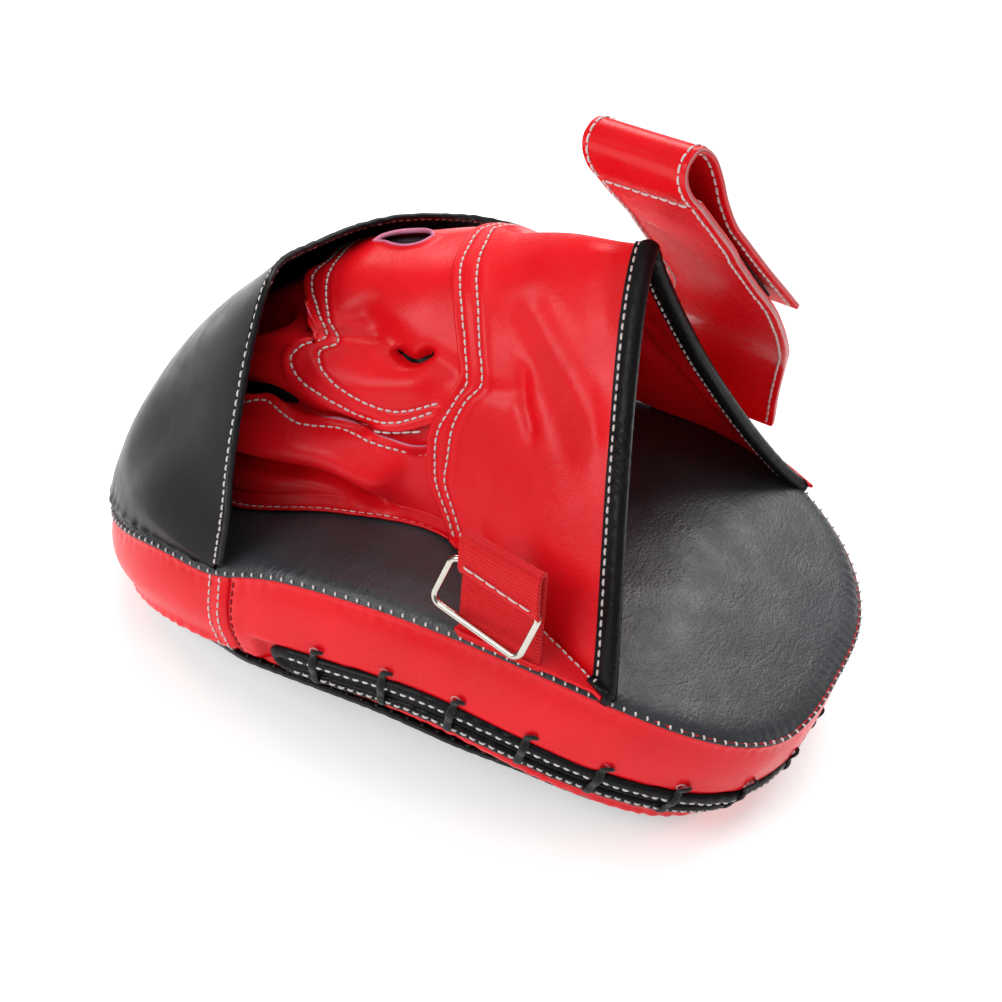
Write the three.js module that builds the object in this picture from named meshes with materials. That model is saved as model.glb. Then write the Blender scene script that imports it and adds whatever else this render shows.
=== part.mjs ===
// Curved hand-held boxing focus pad (focus mitt) with an open glove on its back.
// Millimetres, +Z up. It lies strike face down: +X points to the wrist end, -X to the finger end,
// -Y to the side that carries the ring, and the origin is under the middle of its bounding box.
import * as THREE from "three";
import { mergeVertices } from "three/addons/utils/BufferGeometryUtils.js";

// ---- driving dimensions ----
const padLength = 265; // along the arched middle surface
const padWidth = 172.4;
const archHalfAngle = 0.5352; // the pad is bent to an arc of twice this angle
const archTilt = 0.0359; // turns the arc so that both ends of the strike face stand level
const middleThickness = 42.4;
const thicknessTaper = 9.72; // added at the wrist end, taken off at the finger end
const thicknessCrown = 3.53; // extra in the middle, gone at both ends
const fingerRoundness = 2.275; // superellipse exponents of the two ends of the outline
const wristRoundness = 3.027;
const widthTaper = 0.0704; // the finger end is wider
const widthWaist = 0.0234;
const backCrown = 4; // how far the padded back rises over its seam
const hoodPull = 5; // how far the hood pulls the back seam down beside its rim
const leather = 2; // thickness of a sewn leather layer
const gap = 0.3; // clearance between neighbouring pieces
const layerGap = 0.8; // glue line between the flat layers of the pad
const rimRing = 0.985; // share of the way out where the last ring of a layer starts
const gussetBulge = 4.5;
const ventCount = 17; // lace ties round the vent band
const ringWire = 2.4;
const ringInside = [33, 16.6]; // along its bar, and across
const strapWidth = 40;
const strapThickness = 3;
const centreShift = [-0.234, 0]; // puts the origin under the middle of the bounding box

const halfLength = padLength / 2;
const archRadius = halfLength / archHalfAngle;
const archCentre = new THREE.Vector3(6, 0, -198);
const { clamp, lerp, smoothstep } = THREE.MathUtils;
const V = (x, y, z) => new THREE.Vector3(x, y, z);

// ---- materials ----
const paint = (color, roughness, metalness = 0) =>
  new THREE.MeshStandardMaterial({ color, roughness, metalness, side: THREE.DoubleSide });
const redLeather = paint(0xc8141f, 0.35);
const blackLeather = paint(0x17171a, 0.45);
const blackGrain = paint(0x1d1e22, 0.6);
const redWebbing = paint(0xc91722, 0.8);
const blackTrim = paint(0x111113, 0.5);
const nickel = paint(0xc9c5b6, 0.25, 1);
const foam = paint(0x8f9296, 0.95);
const hookTape = paint(0x0c0c0d, 0.9);

const root = new THREE.Group();
function add(name, geometry, material) {
  const mesh = new THREE.Mesh(geometry, material);
  mesh.name = name;
  root.add(mesh);
  return mesh;
}

// ---- closed solids from grids and sweeps ----

// A geometry from corner points and triangles, its faces turned outwards.
function closed(points, faces) {
  let volume = 0;
  for (const [a, b, c] of faces)
    volume += points[a].dot(points[b].clone().cross(points[c]));
  const order = volume < 0 ? ([a, b, c]) => [a, c, b] : (face) => face;
  const geometry = new THREE.BufferGeometry();
  geometry.setAttribute(
    "position",
    new THREE.Float32BufferAttribute(points.flatMap((p) => [p.x, p.y, p.z]), 3),
  );
  geometry.setIndex(faces.flatMap(order));
  const merged = mergeVertices(geometry);
  merged.computeVertexNormals();
  return merged;
}

// A sheet between surface(s, t, 0) and surface(s, t, 1). With wrap it closes round in s.
function sheet(surface, ns, nt, wrap = false) {
  const columns = wrap ? ns : ns + 1;
  const points = [];
  const at = (i, j, side) => (side * columns + (i % columns)) * (nt + 1) + j;
  for (const side of [0, 1])
    for (let i = 0; i < columns; i++)
      for (let j = 0; j <= nt; j++) points.push(surface(i / ns, j / nt, side));
  const faces = [];
  const quad = (a, b, c, d) => faces.push([a, b, c], [a, c, d]);
  for (let i = 0; i < ns; i++) {
    for (let j = 0; j < nt; j++) {
      quad(at(i, j, 1), at(i + 1, j, 1), at(i + 1, j + 1, 1), at(i, j + 1, 1));
      quad(at(i, j, 0), at(i, j + 1, 0), at(i + 1, j + 1, 0), at(i + 1, j, 0));
    }
    quad(at(i, 0, 0), at(i + 1, 0, 0), at(i + 1, 0, 1), at(i, 0, 1));
    quad(at(i, nt, 0), at(i, nt, 1), at(i + 1, nt, 1), at(i + 1, nt, 0));
  }
  if (!wrap)
    for (let j = 0; j < nt; j++) {
      quad(at(0, j, 0), at(0, j, 1), at(0, j + 1, 1), at(0, j + 1, 0));
      quad(at(ns, j, 0), at(ns, j + 1, 0), at(ns, j + 1, 1), at(ns, j, 1));
    }
  return closed(points, faces);
}

// A disc between two heights: point(angle, radius, side) with radius from 0 to 1.
function disc(point, around, rings) {
  const points = [point(0, 0, 0), point(0, 0, 1)];
  const at = (i, j, side) => 2 + (side * around + (i % around)) * rings + j - 1;
  for (const side of [0, 1])
    for (let i = 0; i < around; i++)
      for (let j = 1; j <= rings; j++)
        points.push(point((2 * Math.PI * i) / around, j / rings, side));
  const faces = [];
  const quad = (a, b, c, d) => faces.push([a, b, c], [a, c, d]);
  for (let i = 0; i < around; i++) {
    faces.push([1, at(i, 1, 1), at(i + 1, 1, 1)], [0, at(i + 1, 1, 0), at(i, 1, 0)]);
    for (let j = 1; j < rings; j++) {
      quad(at(i, j, 1), at(i, j + 1, 1), at(i + 1, j + 1, 1), at(i + 1, j, 1));
      quad(at(i, j, 0), at(i + 1, j, 0), at(i + 1, j + 1, 0), at(i, j + 1, 0));
    }
    quad(at(i, rings, 1), at(i, rings, 0), at(i + 1, rings, 0), at(i + 1, rings, 1));
  }
  return closed(points, faces);
}

// A flat outline swept through frames of { origin, across, up }; a frame may carry its own
// outline with as many points, and loop joins the last frame to the first.
function sweep(outline, frames, loop = false) {
  const n = outline.length;
  const points = frames.flatMap(({ origin, across, up, outline: own = outline }) =>
    own.map(([a, b]) =>
      origin.clone().addScaledVector(across, a).addScaledVector(up, b),
    ),
  );
  const faces = [];
  const spans = loop ? frames.length : frames.length - 1;
  for (let k = 0; k < spans; k++)
    for (let i = 0; i < n; i++) {
      const a = k * n + i;
      const b = k * n + ((i + 1) % n);
      const c = ((k + 1) % frames.length) * n + ((i + 1) % n);
      const d = ((k + 1) % frames.length) * n + i;
      faces.push([a, b, c], [a, c, d]);
    }
  if (!loop) {
    const last = (frames.length - 1) * n;
    const caps = THREE.ShapeUtils.triangulateShape(
      outline.map(([a, b]) => new THREE.Vector2(a, b)),
      [],
    );
    const turn = THREE.ShapeUtils.area(outline.map(([a, b]) => ({ x: a, y: b }))) > 0;
    for (const [a, b, c] of caps) {
      faces.push(turn ? [a, c, b] : [a, b, c]);
      faces.push(turn ? [last + a, last + b, last + c] : [last + a, last + c, last + b]);
    }
  }
  return closed(points, faces);
}

const circle = (radius, sides) =>
  Array.from({ length: sides }, (_, i) => {
    const a = (2 * Math.PI * i) / sides;
    return [radius * Math.cos(a), radius * Math.sin(a)];
  });

// A round cord along a curve.
function tube(curve, radius, steps, sides = 8) {
  const shape = new THREE.Shape(circle(radius, sides).map(([a, b]) => new THREE.Vector2(a, b)));
  const geometry = new THREE.ExtrudeGeometry(shape, { steps, extrudePath: curve });
  geometry.deleteAttribute("normal");
  geometry.deleteAttribute("uv");
  return mergeVertices(geometry, 1e-4);
}

// The unit normal of a surface(s, t), pointing away from a point inside.
function normalOf(surface, s, t, inside) {
  const step = 1e-3;
  const ds = surface(s + step, t).sub(surface(s - step, t));
  const dt = surface(s, t + step).sub(surface(s, t - step));
  const normal = ds.cross(dt).normalize();
  if (normal.dot(surface(s, t).sub(inside)) < 0) normal.negate();
  return normal;
}

// ---- the pad's own coordinates: s along the arc, y across, h above the strike face ----

const thickness = (s) => {
  const u = s / halfLength;
  return middleThickness - thicknessCrown + thicknessTaper * u + thicknessCrown * (1 - u * u);
};

function pad(s, y, h) {
  const angle = s / archRadius - archTilt;
  const ray = (height) => archRadius - thickness(s) / 2 + height;
  const end = clamp(s, -halfLength, halfLength);
  const endRay = archRadius - thickness(end) / 2;
  const lift = Math.max(0, -(endRay * Math.cos(end / archRadius - archTilt) + archCentre.z));
  return V(
    archCentre.x + ray(h) * Math.sin(angle),
    y,
    archCentre.z + ray(h) * Math.cos(angle) + lift,
  );
}

// The pad's outline as [s, y], moved outwards by a distance; angle 0 is the wrist end.
function outline(angle, out = 0) {
  const at = (a) => {
    const c = Math.cos(a);
    const n = c < 0 ? fingerRoundness : wristRoundness;
    const u = Math.sign(c) * Math.abs(c) ** (2 / n);
    const side = Math.sign(Math.sin(a)) * Math.abs(Math.sin(a)) ** (2 / n);
    const width = 1 - widthTaper * u - widthWaist * (1 - u * u);
    return [u * halfLength, (side * width * padWidth) / 2];
  };
  const [s, y] = at(angle);
  const step = 1e-3;
  const [s0, y0] = at(angle - step);
  const [s1, y1] = at(angle + step);
  const size = Math.hypot(s1 - s0, y1 - y0);
  return [s + ((y1 - y0) / size) * out, y - ((s1 - s0) / size) * out];
}

// The angle where the outline is at u along the pad, on the near (-Y) or far side.
function angleAt(u, far) {
  const n = u < 0 ? fingerRoundness : wristRoundness;
  const a = Math.acos(Math.sign(u) * Math.abs(u) ** (n / 2));
  return far ? a : 2 * Math.PI - a;
}

function edge(angle, out, h) {
  const [s, y] = outline(angle, out);
  return pad(s, y, h);
}

// Heights over the strike face: of the back seam, and of the padded back at a share of the
// way out to that seam.
const seamDip = (s) => hoodPull * Math.exp(-(((s / halfLength + 0.42) / 0.13) ** 2));
const backHeight = (s, share) =>
  thickness(s) + backCrown * (1 - share ** 3) - seamDip(s) * share ** 8;

function layer(out, low, high, around = 32, rings = 5) {
  return disc(
    (angle, share, side) => {
      const [s, y] = outline(angle, out);
      const radius = Math.min(share * (rings / (rings - 1)) * rimRing, 1) || 0;
      return pad(s * radius, y * radius, (side ? high : low)(s * radius, radius));
    },
    around,
    rings,
  );
}

// The point of the padded back under a place (x, y), found from the arc.
function onBack(x, y, lift = 0) {
  const share = (s) => {
    const u = clamp(s / halfLength, -1, 1);
    const n = u < 0 ? fingerRoundness : wristRoundness;
    const half = (padWidth / 2) * (1 - widthTaper * u - widthWaist * (1 - u * u));
    return Math.min(1, (Math.abs(u) ** n + Math.abs(y / half) ** n) ** (1 / n));
  };
  let s = x - archCentre.x;
  for (let i = 0; i < 12; i++) {
    const p = pad(s, y, backHeight(s, share(s)) + lift);
    s += x - p.x;
  }
  return pad(s, y, backHeight(s, share(s)) + lift);
}

// ---- padded body ----
const sideClearance = -8; // foam stands back from the gusset and its vent groove
const faceTop = leather + gap;
const faceFoam = 9;
const backFoam = 10;
const backFoamLow = (s) => thickness(s) - leather - layerGap - backFoam;
add("strike_face_panel", layer(0, () => 0, () => leather), blackLeather);
add(
  "face_foam",
  layer(sideClearance, () => leather + layerGap, () => leather + layerGap + faceFoam),
  foam,
);
add(
  "middle_foam",
  layer(
    sideClearance,
    () => leather + faceFoam + 2 * layerGap,
    (s) => backFoamLow(s) - layerGap,
  ),
  foam,
);
add(
  "back_foam",
  layer(sideClearance, backFoamLow, (s, r) => backHeight(s, r) - leather - layerGap),
  foam,
);
add("back_panel", layer(0, (s, r) => backHeight(s, r) - leather, backHeight), blackGrain);

// The side wall bulges between its seams, and a groove runs along it for the vent band.
const ventStart = -0.25; // of the half length, on both sides
function ventHeight(s) {
  const u = s / halfLength;
  const share = lerp(0.218, 0.305, smoothstep(u, -0.15, 0.25)) + 0.1 * smoothstep(u, 0.5, 1);
  return share * thickness(s);
}
const ventFloor = 4.8; // half the width of the groove at its bottom, and at its mouth
const ventMouth = 5.7;
const ventDepth = 3.2;
const wallLow = faceTop + 2 * gap;
const wallTop = (s) => backHeight(s, 1) - leather - 2 * layerGap;

function wallOut(angle, h) {
  const [s] = outline(angle);
  const share = clamp((h - wallLow) / (wallTop(s) - wallLow), 0, 1);
  const wrist = smoothstep(s / halfLength, 0, 1);
  return lerp(1, 1.3, wrist) * gussetBulge * Math.sin(Math.PI * share) ** 0.8;
}
function wall(angle, h, depth) {
  const [s] = outline(angle);
  const inside = smoothstep(Math.abs(h - ventHeight(s)), ventFloor, ventMouth);
  const ends = smoothstep(s / halfLength, ventStart - 0.05, ventStart - 0.015);
  return edge(angle, wallOut(angle, h) - ventDepth * (1 - inside) * ends - depth, h);
}

// Heights of the wall's rows, close together across the groove.
function wallRows(s) {
  const middle = ventHeight(s);
  const groove = [-ventMouth, -ventFloor, -1.5, 1.5, ventFloor, ventMouth];
  const upper = [1, 2, 3, 4].map((i) => lerp(middle + ventMouth, wallTop(s), i / 4));
  return [wallLow, ...groove.map((rise) => middle + rise), ...upper];
}

// Angles at equal steps along the wall, from one angle to another.
function evenAngles(from, to, count) {
  const fine = 800;
  const lengths = [0];
  let last = edge(from, 0, 0);
  for (let i = 1; i <= fine; i++) {
    const next = edge(lerp(from, to, i / fine), 0, 0);
    lengths.push(lengths[i - 1] + next.distanceTo(last));
    last = next;
  }
  return Array.from({ length: count + 1 }, (_, k) => {
    const goal = (lengths[fine] * k) / count;
    const i = Math.max(1, lengths.findIndex((length) => length >= goal - 1e-9));
    const part = (goal - lengths[i - 1]) / (lengths[i] - lengths[i - 1]);
    return lerp(from, to, (i - 1 + part) / fine);
  });
}

const seamAt = -0.365; // where the front and main gusset pieces meet, of the half length
const nearSeam = angleAt(seamAt, false) - 2 * Math.PI; // so that it runs up through 0
const farSeam = angleAt(seamAt, true);
const seamGap = 0.004;
function gusset(from, to, steps) {
  const angles = evenAngles(from, to, steps);
  return sheet(
    (a, b, side) => {
      const angle = angles[Math.round(a * steps)];
      const rows = wallRows(outline(angle)[0]);
      return wall(angle, rows[Math.round(b * (rows.length - 1))], side ? 0 : leather);
    },
    steps,
    10,
  );
}
add("gusset_main", gusset(nearSeam, farSeam, 40), redLeather);
add("gusset_front", gusset(farSeam + seamGap, nearSeam + 2 * Math.PI - seamGap, 16), redLeather);

// Vent band: two rolled lips on a flat liner in the groove, crossed by lace ties.
const ventInset = 0.03;
const ventFrom = angleAt(ventStart, false) - 2 * Math.PI + ventInset;
const ventTo = angleAt(ventStart, true) - ventInset;
const linerHalf = [3.4, 0.25];
const linerOut = -ventDepth + 3 * gap + linerHalf[1];
const lipRadius = 1.55;
const lipRise = 2.35;
const lipOut = linerOut + linerHalf[1] + 2 * gap + lipRadius;
function ventPoint(angle, rise, out) {
  const [s] = outline(angle);
  const h = ventHeight(s) + rise;
  return edge(angle, wallOut(angle, h) + out, h);
}
function ventFrame(angle, rise, out) {
  const origin = ventPoint(angle, rise, out);
  const along = ventPoint(angle + 0.01, rise, out).sub(ventPoint(angle - 0.01, rise, out));
  const climb = ventPoint(angle, rise + 0.5, out).sub(ventPoint(angle, rise - 0.5, out));
  const outward = climb.cross(along).normalize();
  if (outward.dot(ventPoint(angle, rise, out + 1).sub(origin)) < 0) outward.negate();
  const across = along.clone().cross(outward).normalize();
  return { origin, along: along.normalize(), across, up: outward };
}
const ventAngles = evenAngles(ventFrom, ventTo, 40);
const lip = (rise) =>
  sweep(circle(lipRadius, 6), ventAngles.map((angle) => ventFrame(angle, rise, lipOut)));
add("vent_lip_upper", lip(lipRise), blackTrim);
add("vent_lip_lower", lip(-lipRise), blackTrim);
const linerOutline = [[-1, -1], [1, -1], [1, 1], [-1, 1]].map(([a, b]) => [
  a * linerHalf[0],
  b * linerHalf[1],
]);
add(
  "vent_liner",
  sweep(linerOutline, ventAngles.map((angle) => ventFrame(angle, 0, linerOut))),
  blackTrim,
);

// Each tie is a flat cord over both lips, from the wall above the band to the wall below it.
const tieWidth = 2.6;
const tieThickness = 1.1;
const tieTop = 8.4;
const tieFoot = -5.4;
function laceTie(angle) {
  const steps = 8;
  const w = tieWidth / 2;
  const t = tieThickness / 2;
  const frames = Array.from({ length: steps + 1 }, (_, i) => {
    const rise = lerp(tieTop, tieFoot, i / steps);
    const over = 1 - smoothstep(Math.abs(rise), 4, 6.4);
    const seat = lerp(gap, lipOut + lipRadius + gap, over) + t;
    const { origin, along, up } = ventFrame(angle, rise, Math.max(seat, gap + t));
    return { origin, across: along, up };
  });
  return sweep([[-w, -t], [w, -t], [w, t], [-w, t]], frames);
}
const tieInset = 0.1;
evenAngles(ventFrom + tieInset, ventTo - tieInset, ventCount - 1).forEach((angle, i) =>
  add("lace_tie_" + String(i + 1).padStart(2, "0"), laceTie(angle), blackTrim),
);

// ---- finger hood: a leather dome over the finger end, open towards the wrist ----
const curveThrough = (points) => new THREE.CatmullRomCurve3(points.map((p) => V(...p)));
const hoodNear = angleAt(-0.4, false);
const hoodFar = angleAt(-0.3, true);
const rimCurve = curveThrough([
  [-57, -82.8, 59],
  [-54, -85, 82],
  [-54, -82, 110],
  [-56, -72, 128],
  [-58, -62, 141],
  [-61, -51, 150],
  [-65, -36, 151.5],
  [-65, -20, 150],
  [-61, 0, 148],
  [-52, 20, 145],
  [-43, 40, 139],
  [-37, 58, 130],
  [-32, 72, 116],
  [-29, 82, 94],
  [-33, 86, 70],
]);
const hoodInside = V(-70, 0, 70);
const hoodEdge = 0.975; // the leather ends here, inside the hem
function hoodShape(a, b) {
  const angle = lerp(hoodNear, hoodFar, a);
  const [s, y] = outline(angle, -1);
  const foot = pad(s, y, backHeight(s, 1) + 3 * gap);
  const rim = rimCurve.getPoint(clamp(a, 0, 1));
  const knee = V(
    lerp(foot.x, rim.x, 0.03),
    lerp(foot.y, rim.y, 0.2),
    lerp(foot.z, rim.z, 0.385),
  );
  return foot
    .multiplyScalar((1 - b) ** 2)
    .addScaledVector(knee, 2 * b * (1 - b))
    .addScaledVector(rim, b * b);
}

// A layer on part of a surface(s, t), between two distances along its normal.
function shell(surface, inside, [low, high], [s0, s1, t0, t1], ns, nt) {
  return sheet(
    (a, b, side) => {
      const s = lerp(s0, s1, a);
      const t = lerp(t0, t1, b);
      const normal = normalOf(surface, s, t, inside);
      return surface(s, t).addScaledVector(normal, side ? high : low);
    },
    ns,
    nt,
  );
}
add(
  "finger_hood",
  shell(hoodShape, hoodInside, [-leather, 0], [0.01, 0.99, 0.03, hoodEdge], 24, 8),
  blackLeather,
);
const hemPoints = Array.from({ length: 25 }, (_, i) => {
  const a = lerp(0.012, 0.988, i / 24);
  const point = hoodShape(a, hoodEdge);
  const normal = normalOf(hoodShape, a, hoodEdge, hoodInside);
  const onward = hoodShape(a, 1).sub(hoodShape(a, 0.95)).normalize();
  return point.addScaledVector(normal, -leather / 2).addScaledVector(onward, 2.1);
});
add("hood_hem", tube(new THREE.CatmullRomCurve3(hemPoints), 1.4, 30, 6), blackTrim);

// ---- glove: one bent surface from under the hood (p = 0) to the wrist opening (p = 1) ----
// t runs from the foot on the near side (0) over the crown (0.5) to the foot on the far side (1).
const crownLine = curveThrough([
  [-98, 6, 101],
  [-68, 8, 129],
  [-42, 10, 142],
  [-15, 10, 155],
  [12, 9, 165],
  [43.5, 8, 172.3],
]);
const nearFoot = curveThrough([
  [-98, -38, 0],
  [-66, -53, 0],
  [-32, -48, 0],
  [5, -44, 0],
  [42, -61, 0],
  [82.5, -74.5, 0],
]);
const farFoot = curveThrough([
  [-98, 40, 0],
  [-62, 54, 0],
  [-24, 56, 0],
  [18, 60, 0],
  [60, 70, 0],
  [96, 69, 0],
]);
const footRise = 0.6;
const gloveInside = V(0, 0, 95);
function glove(p, t) {
  const q = clamp(p, 0, 1);
  const c = Math.cos(Math.PI * t);
  const foot = (c > 0 ? nearFoot : farFoot).getPoint(q);
  const crown = crownLine.getPoint(q);
  const late = smoothstep(q, 0.35, 1);
  const bow = 2 / lerp(2.1, c > 0 ? 1.22 : 0.88, late);
  const lean = 1.3 + (c > 0 ? 0.9 * smoothstep(q, 0.7, 1) : late);
  const out = Math.abs(c) ** bow;
  const up = Math.abs(Math.sin(Math.PI * t)) ** bow;
  const ground = onBack(foot.x, foot.y, footRise).z;
  const past = (p - q) * 140;
  return V(
    lerp(crown.x, foot.x, Math.abs(c) ** lean) + past,
    lerp(crown.y, foot.y, out),
    lerp(ground, crown.z, up) + past * 0.1,
  );
}
const skin = [0.2, 1.8];
const cuffSeam = 0.585; // where the knuckle and cuff panels meet
const cuffEnd = 0.985;
const cuffRows = 20;
const cuffSpan = [0.025, 0.95]; // the cuff ends just above the pad, in t
add("finger_sleeve", shell(glove, gloveInside, [-1.9, -0.3], [0.04, 0.575, 0.02, 0.98], 8, 16), redLeather);
add("knuckle_panel", shell(glove, gloveInside, skin, [0.26, 0.575, 0.3, 0.8], 6, 10), redLeather);
add("thumb_panel", shell(glove, gloveInside, skin, [0.1, 0.575, 0.04, 0.29], 7, 5), redLeather);
add("cuff_panel", shell(glove, gloveInside, skin, [cuffSeam, cuffEnd, ...cuffSpan], 7, cuffRows), redLeather);

// Black binding folded over the edge of the wrist opening.
const bindWide = 8;
const bindLeather = 0.9;
const bindGap = [skin[0] - 0.9, skin[1] + 0.9];
const bindOutline = [
  [-bindWide, bindGap[1]],
  [-bindWide, bindGap[1] + bindLeather],
  [1.6, bindGap[1] + bindLeather],
  [1.6, bindGap[0] - bindLeather],
  [-bindWide, bindGap[0] - bindLeather],
  [-bindWide, bindGap[0]],
  [0.5, bindGap[0]],
  [0.5, bindGap[1]],
];
const bindFrames = Array.from({ length: cuffRows + 1 }, (_, i) => {
  const t = lerp(...cuffSpan, i / cuffRows);
  const origin = glove(cuffEnd, t);
  const up = normalOf(glove, cuffEnd, t, gloveInside);
  const out = glove(cuffEnd, t).sub(glove(cuffEnd - 0.01, t));
  const across = out.addScaledVector(up, -out.dot(up)).normalize();
  return { origin, across, up };
});
add("cuff_binding", sweep(bindOutline, bindFrames), blackTrim);

// The strip that sews the glove's foot down on the pad, one on each side.
const stripWide = 6;
function footStrip(line, side) {
  return sheet(
    (a, b, top) => {
      const foot = line.getPoint(lerp(0.12, 0.56, a));
      return onBack(foot.x, foot.y + side * lerp(2.8, 2.8 + stripWide, b), top ? 1.9 : gap);
    },
    10,
    2,
  );
}
add("base_strip_near", footStrip(nearFoot, -1), redLeather);
add("base_strip_far", footStrip(farFoot, 1), redLeather);

// ---- ring and the webbing loop that holds it ----
const mix = (a, b, k) => a.clone().lerp(b, k);
const webFoot = [V(28.3, -79, 74.5), V(55.2, -77.5, 71.5)];
const webFold = [V(22.2, -73, 100.5), V(49.1, -78, 103)];
const webThick = 1.4;
const webLength = mix(...webFold, 0.5).distanceTo(mix(...webFoot, 0.5));
const webOut = webFoot[1].clone().sub(webFoot[0]);
webOut.cross(webFold[0].clone().sub(webFoot[0])).normalize();
if (webOut.y > 0) webOut.negate();
const loopOut = 5.8; // from the back layer to the front layer
const barOut = loopOut / 2;
const barDrop = [5.5, 12]; // from the fold down to the ring's bar, at the two ends of the fold

// The loop's middle line as [out, up]: up the back, over the fold and down round the bar.
function loopLine(drop) {
  const top = webLength - barOut;
  const low = top + barOut - drop - 3.6;
  const line = [[0, 0], [0, webLength / 2], [0, top]];
  for (const turn of [45, 90, 135, 180]) {
    const a = THREE.MathUtils.degToRad(turn);
    line.push([barOut * (1 - Math.cos(a)), top + barOut * Math.sin(a)]);
  }
  line.push([loopOut, low + 2.6], [loopOut * 0.8, low + 0.6], [webThick * 1.6, low]);
  return line;
}
// A closed outline round a line, at half a thickness to each side.
function thicken(line, thick) {
  const sides = line.map(([x, y], i) => {
    const [x0, y0] = line[Math.max(0, i - 1)];
    const [x1, y1] = line[Math.min(line.length - 1, i + 1)];
    const half = thick / 2 / Math.hypot(x1 - x0, y1 - y0);
    const [nx, ny] = [-(y1 - y0) * half, (x1 - x0) * half];
    return [[x + nx, y + ny], [x - nx, y - ny]];
  });
  return [...sides.map(([left]) => left), ...sides.map(([, right]) => right).reverse()];
}
const webFrames = [0, 0.25, 0.5, 0.75, 1].map((k) => {
  const origin = mix(...webFoot, k);
  const up = mix(...webFold, k).sub(origin).divideScalar(webLength);
  return { origin, across: webOut, up, outline: thicken(loopLine(lerp(...barDrop, k)), webThick) };
});
add("ring_webbing", sweep(webFrames[0].outline, webFrames), redWebbing);

// A bar's end inside the loop, at a share k along the fold.
const barEnds = [webFrames[0], webFrames[4]].map(({ origin, across, up }, end) =>
  origin
    .clone()
    .addScaledVector(up, webLength - barDrop[end])
    .addScaledVector(across, barOut),
);
const ringX = barEnds[1].clone().sub(barEnds[0]).normalize();
const ringY = webOut.clone().negate();
ringY.addScaledVector(ringX, -ringY.dot(ringX)).normalize(); // into the cuff
const ringZ = ringX.clone().cross(ringY).normalize();
const ringCorner = 3.2;
function ringFrames() {
  const half = (ringInside[0] + ringWire) / 2 - ringCorner;
  const [top, low] = [-ringCorner, -ringInside[1] - ringWire + ringCorner];
  const centres = [[half, top], [-half, top], [-half, low], [half, low]];
  return centres.flatMap(([x, z], quarter) =>
    [0, 1, 2, 3].map((i) => {
      const a = (Math.PI / 2) * (quarter + i / 3);
      const across = V(Math.cos(a), 0, Math.sin(a));
      const origin = V(x, 0, z).addScaledVector(across, ringCorner);
      return { origin, across, up: V(0, 1, 0) };
    }),
  );
}
const ring = new THREE.Mesh(sweep(circle(ringWire / 2, 8), ringFrames(), true), nickel);
ring.name = "rectangular_ring";
const ringHolder = new THREE.Group();
ringHolder.quaternion.setFromRotationMatrix(
  new THREE.Matrix4().makeBasis(ringX, ringY, ringZ),
);
ringHolder.position.copy(mix(...barEnds, 0.5));
ringHolder.add(ring);
root.add(ringHolder);

// ---- wrist strap: sewn to the far foot, up the far slope, folded back over a loose loop ----
const bendPoint = V(50.9, 12.9, 176.7); // where it leaves the cuff's ridge
const strapCross = V(0.945, -0.28, 0.17).normalize();
const strapDown = V(0.27, 0.605, -0.75);
strapDown.addScaledVector(strapCross, -strapDown.dot(strapCross)).normalize();
const strapOut = strapCross.clone().cross(strapDown).normalize();
const onStrap = (out, down, side = 0) =>
  bendPoint
    .clone()
    .addScaledVector(strapOut, out)
    .addScaledVector(strapDown, down)
    .addScaledVector(strapCross, side);

// A flat band through centre points, crossing them along the given directions.
function band(points, crosses, width, thick) {
  const frames = points.map((origin, i) => {
    const ahead = points[Math.min(points.length - 1, i + 1)];
    const along = ahead.clone().sub(points[Math.max(0, i - 1)]);
    const across = crosses(i / (points.length - 1)).clone();
    across.addScaledVector(along, -across.dot(along) / along.lengthSq()).normalize();
    return { origin, across, up: across.clone().cross(along).normalize() };
  });
  const [w, t] = [width / 2, thick / 2];
  return sweep([[-w, -t], [w, -t], [w, t], [-w, t]], frames);
}
const footCross = V(0.99, 0, -0.12);
const bendGap = 1.8;
const basePoints = [
  onStrap(0, bendGap, -2),
  onStrap(0, 20, -3),
  onStrap(0, 41, -4),
  V(61.3, 54, 124),
  V(59.2, 65, 111),
  V(57.4, 73, 96),
  V(56.6, 77.5, 83),
  V(56.5, 79, 74.5),
];
add(
  "strap_base",
  band(basePoints, (k) => mix(strapCross, footCross, k), strapWidth, strapThickness),
  redLeather,
);
const strapTop = -45.5;
const loopMiddle = 7.2;
const bandLine = [[0, -bendGap], [0, -16], [0, -31], [-0.2, -37], [2, -43], [loopMiddle - 0.6, strapTop]];
const tailPly = 1.6;
const tailSeat = 5;
const tailLine = [
  [loopMiddle + 0.6, strapTop],
  [12.2, -42.5],
  [13.6, -36],
  [12, -28],
  [8.4, -19],
  [tailSeat, -5],
  [tailSeat, 20],
  [tailSeat, 43],
];
const straight = () => strapCross;
add(
  "strap_band",
  band(bandLine.map(([out, down]) => onStrap(out, down, -0.5)), straight, strapWidth, strapThickness),
  redLeather,
);
add(
  "strap_tail",
  band(tailLine.map(([out, down]) => onStrap(out, down, -0.5)), straight, strapWidth, tailPly),
  redLeather,
);
const patchThick = 0.9;
const patchWidth = strapWidth - 8;
const patchOuts = {
  loop_patch: strapThickness / 2 + gap + patchThick / 2,
  hook_patch: tailSeat - tailPly / 2 - gap - patchThick / 2,
};
for (const [name, out] of Object.entries(patchOuts))
  add(
    name,
    band([onStrap(out, 12, -3), onStrap(out, 38, -3)], straight, patchWidth, patchThick),
    hookTape,
  );

root.children.forEach((piece) => {
  piece.position.x += centreShift[0];
  piece.position.y += centreShift[1];
});

export default root;
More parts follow.
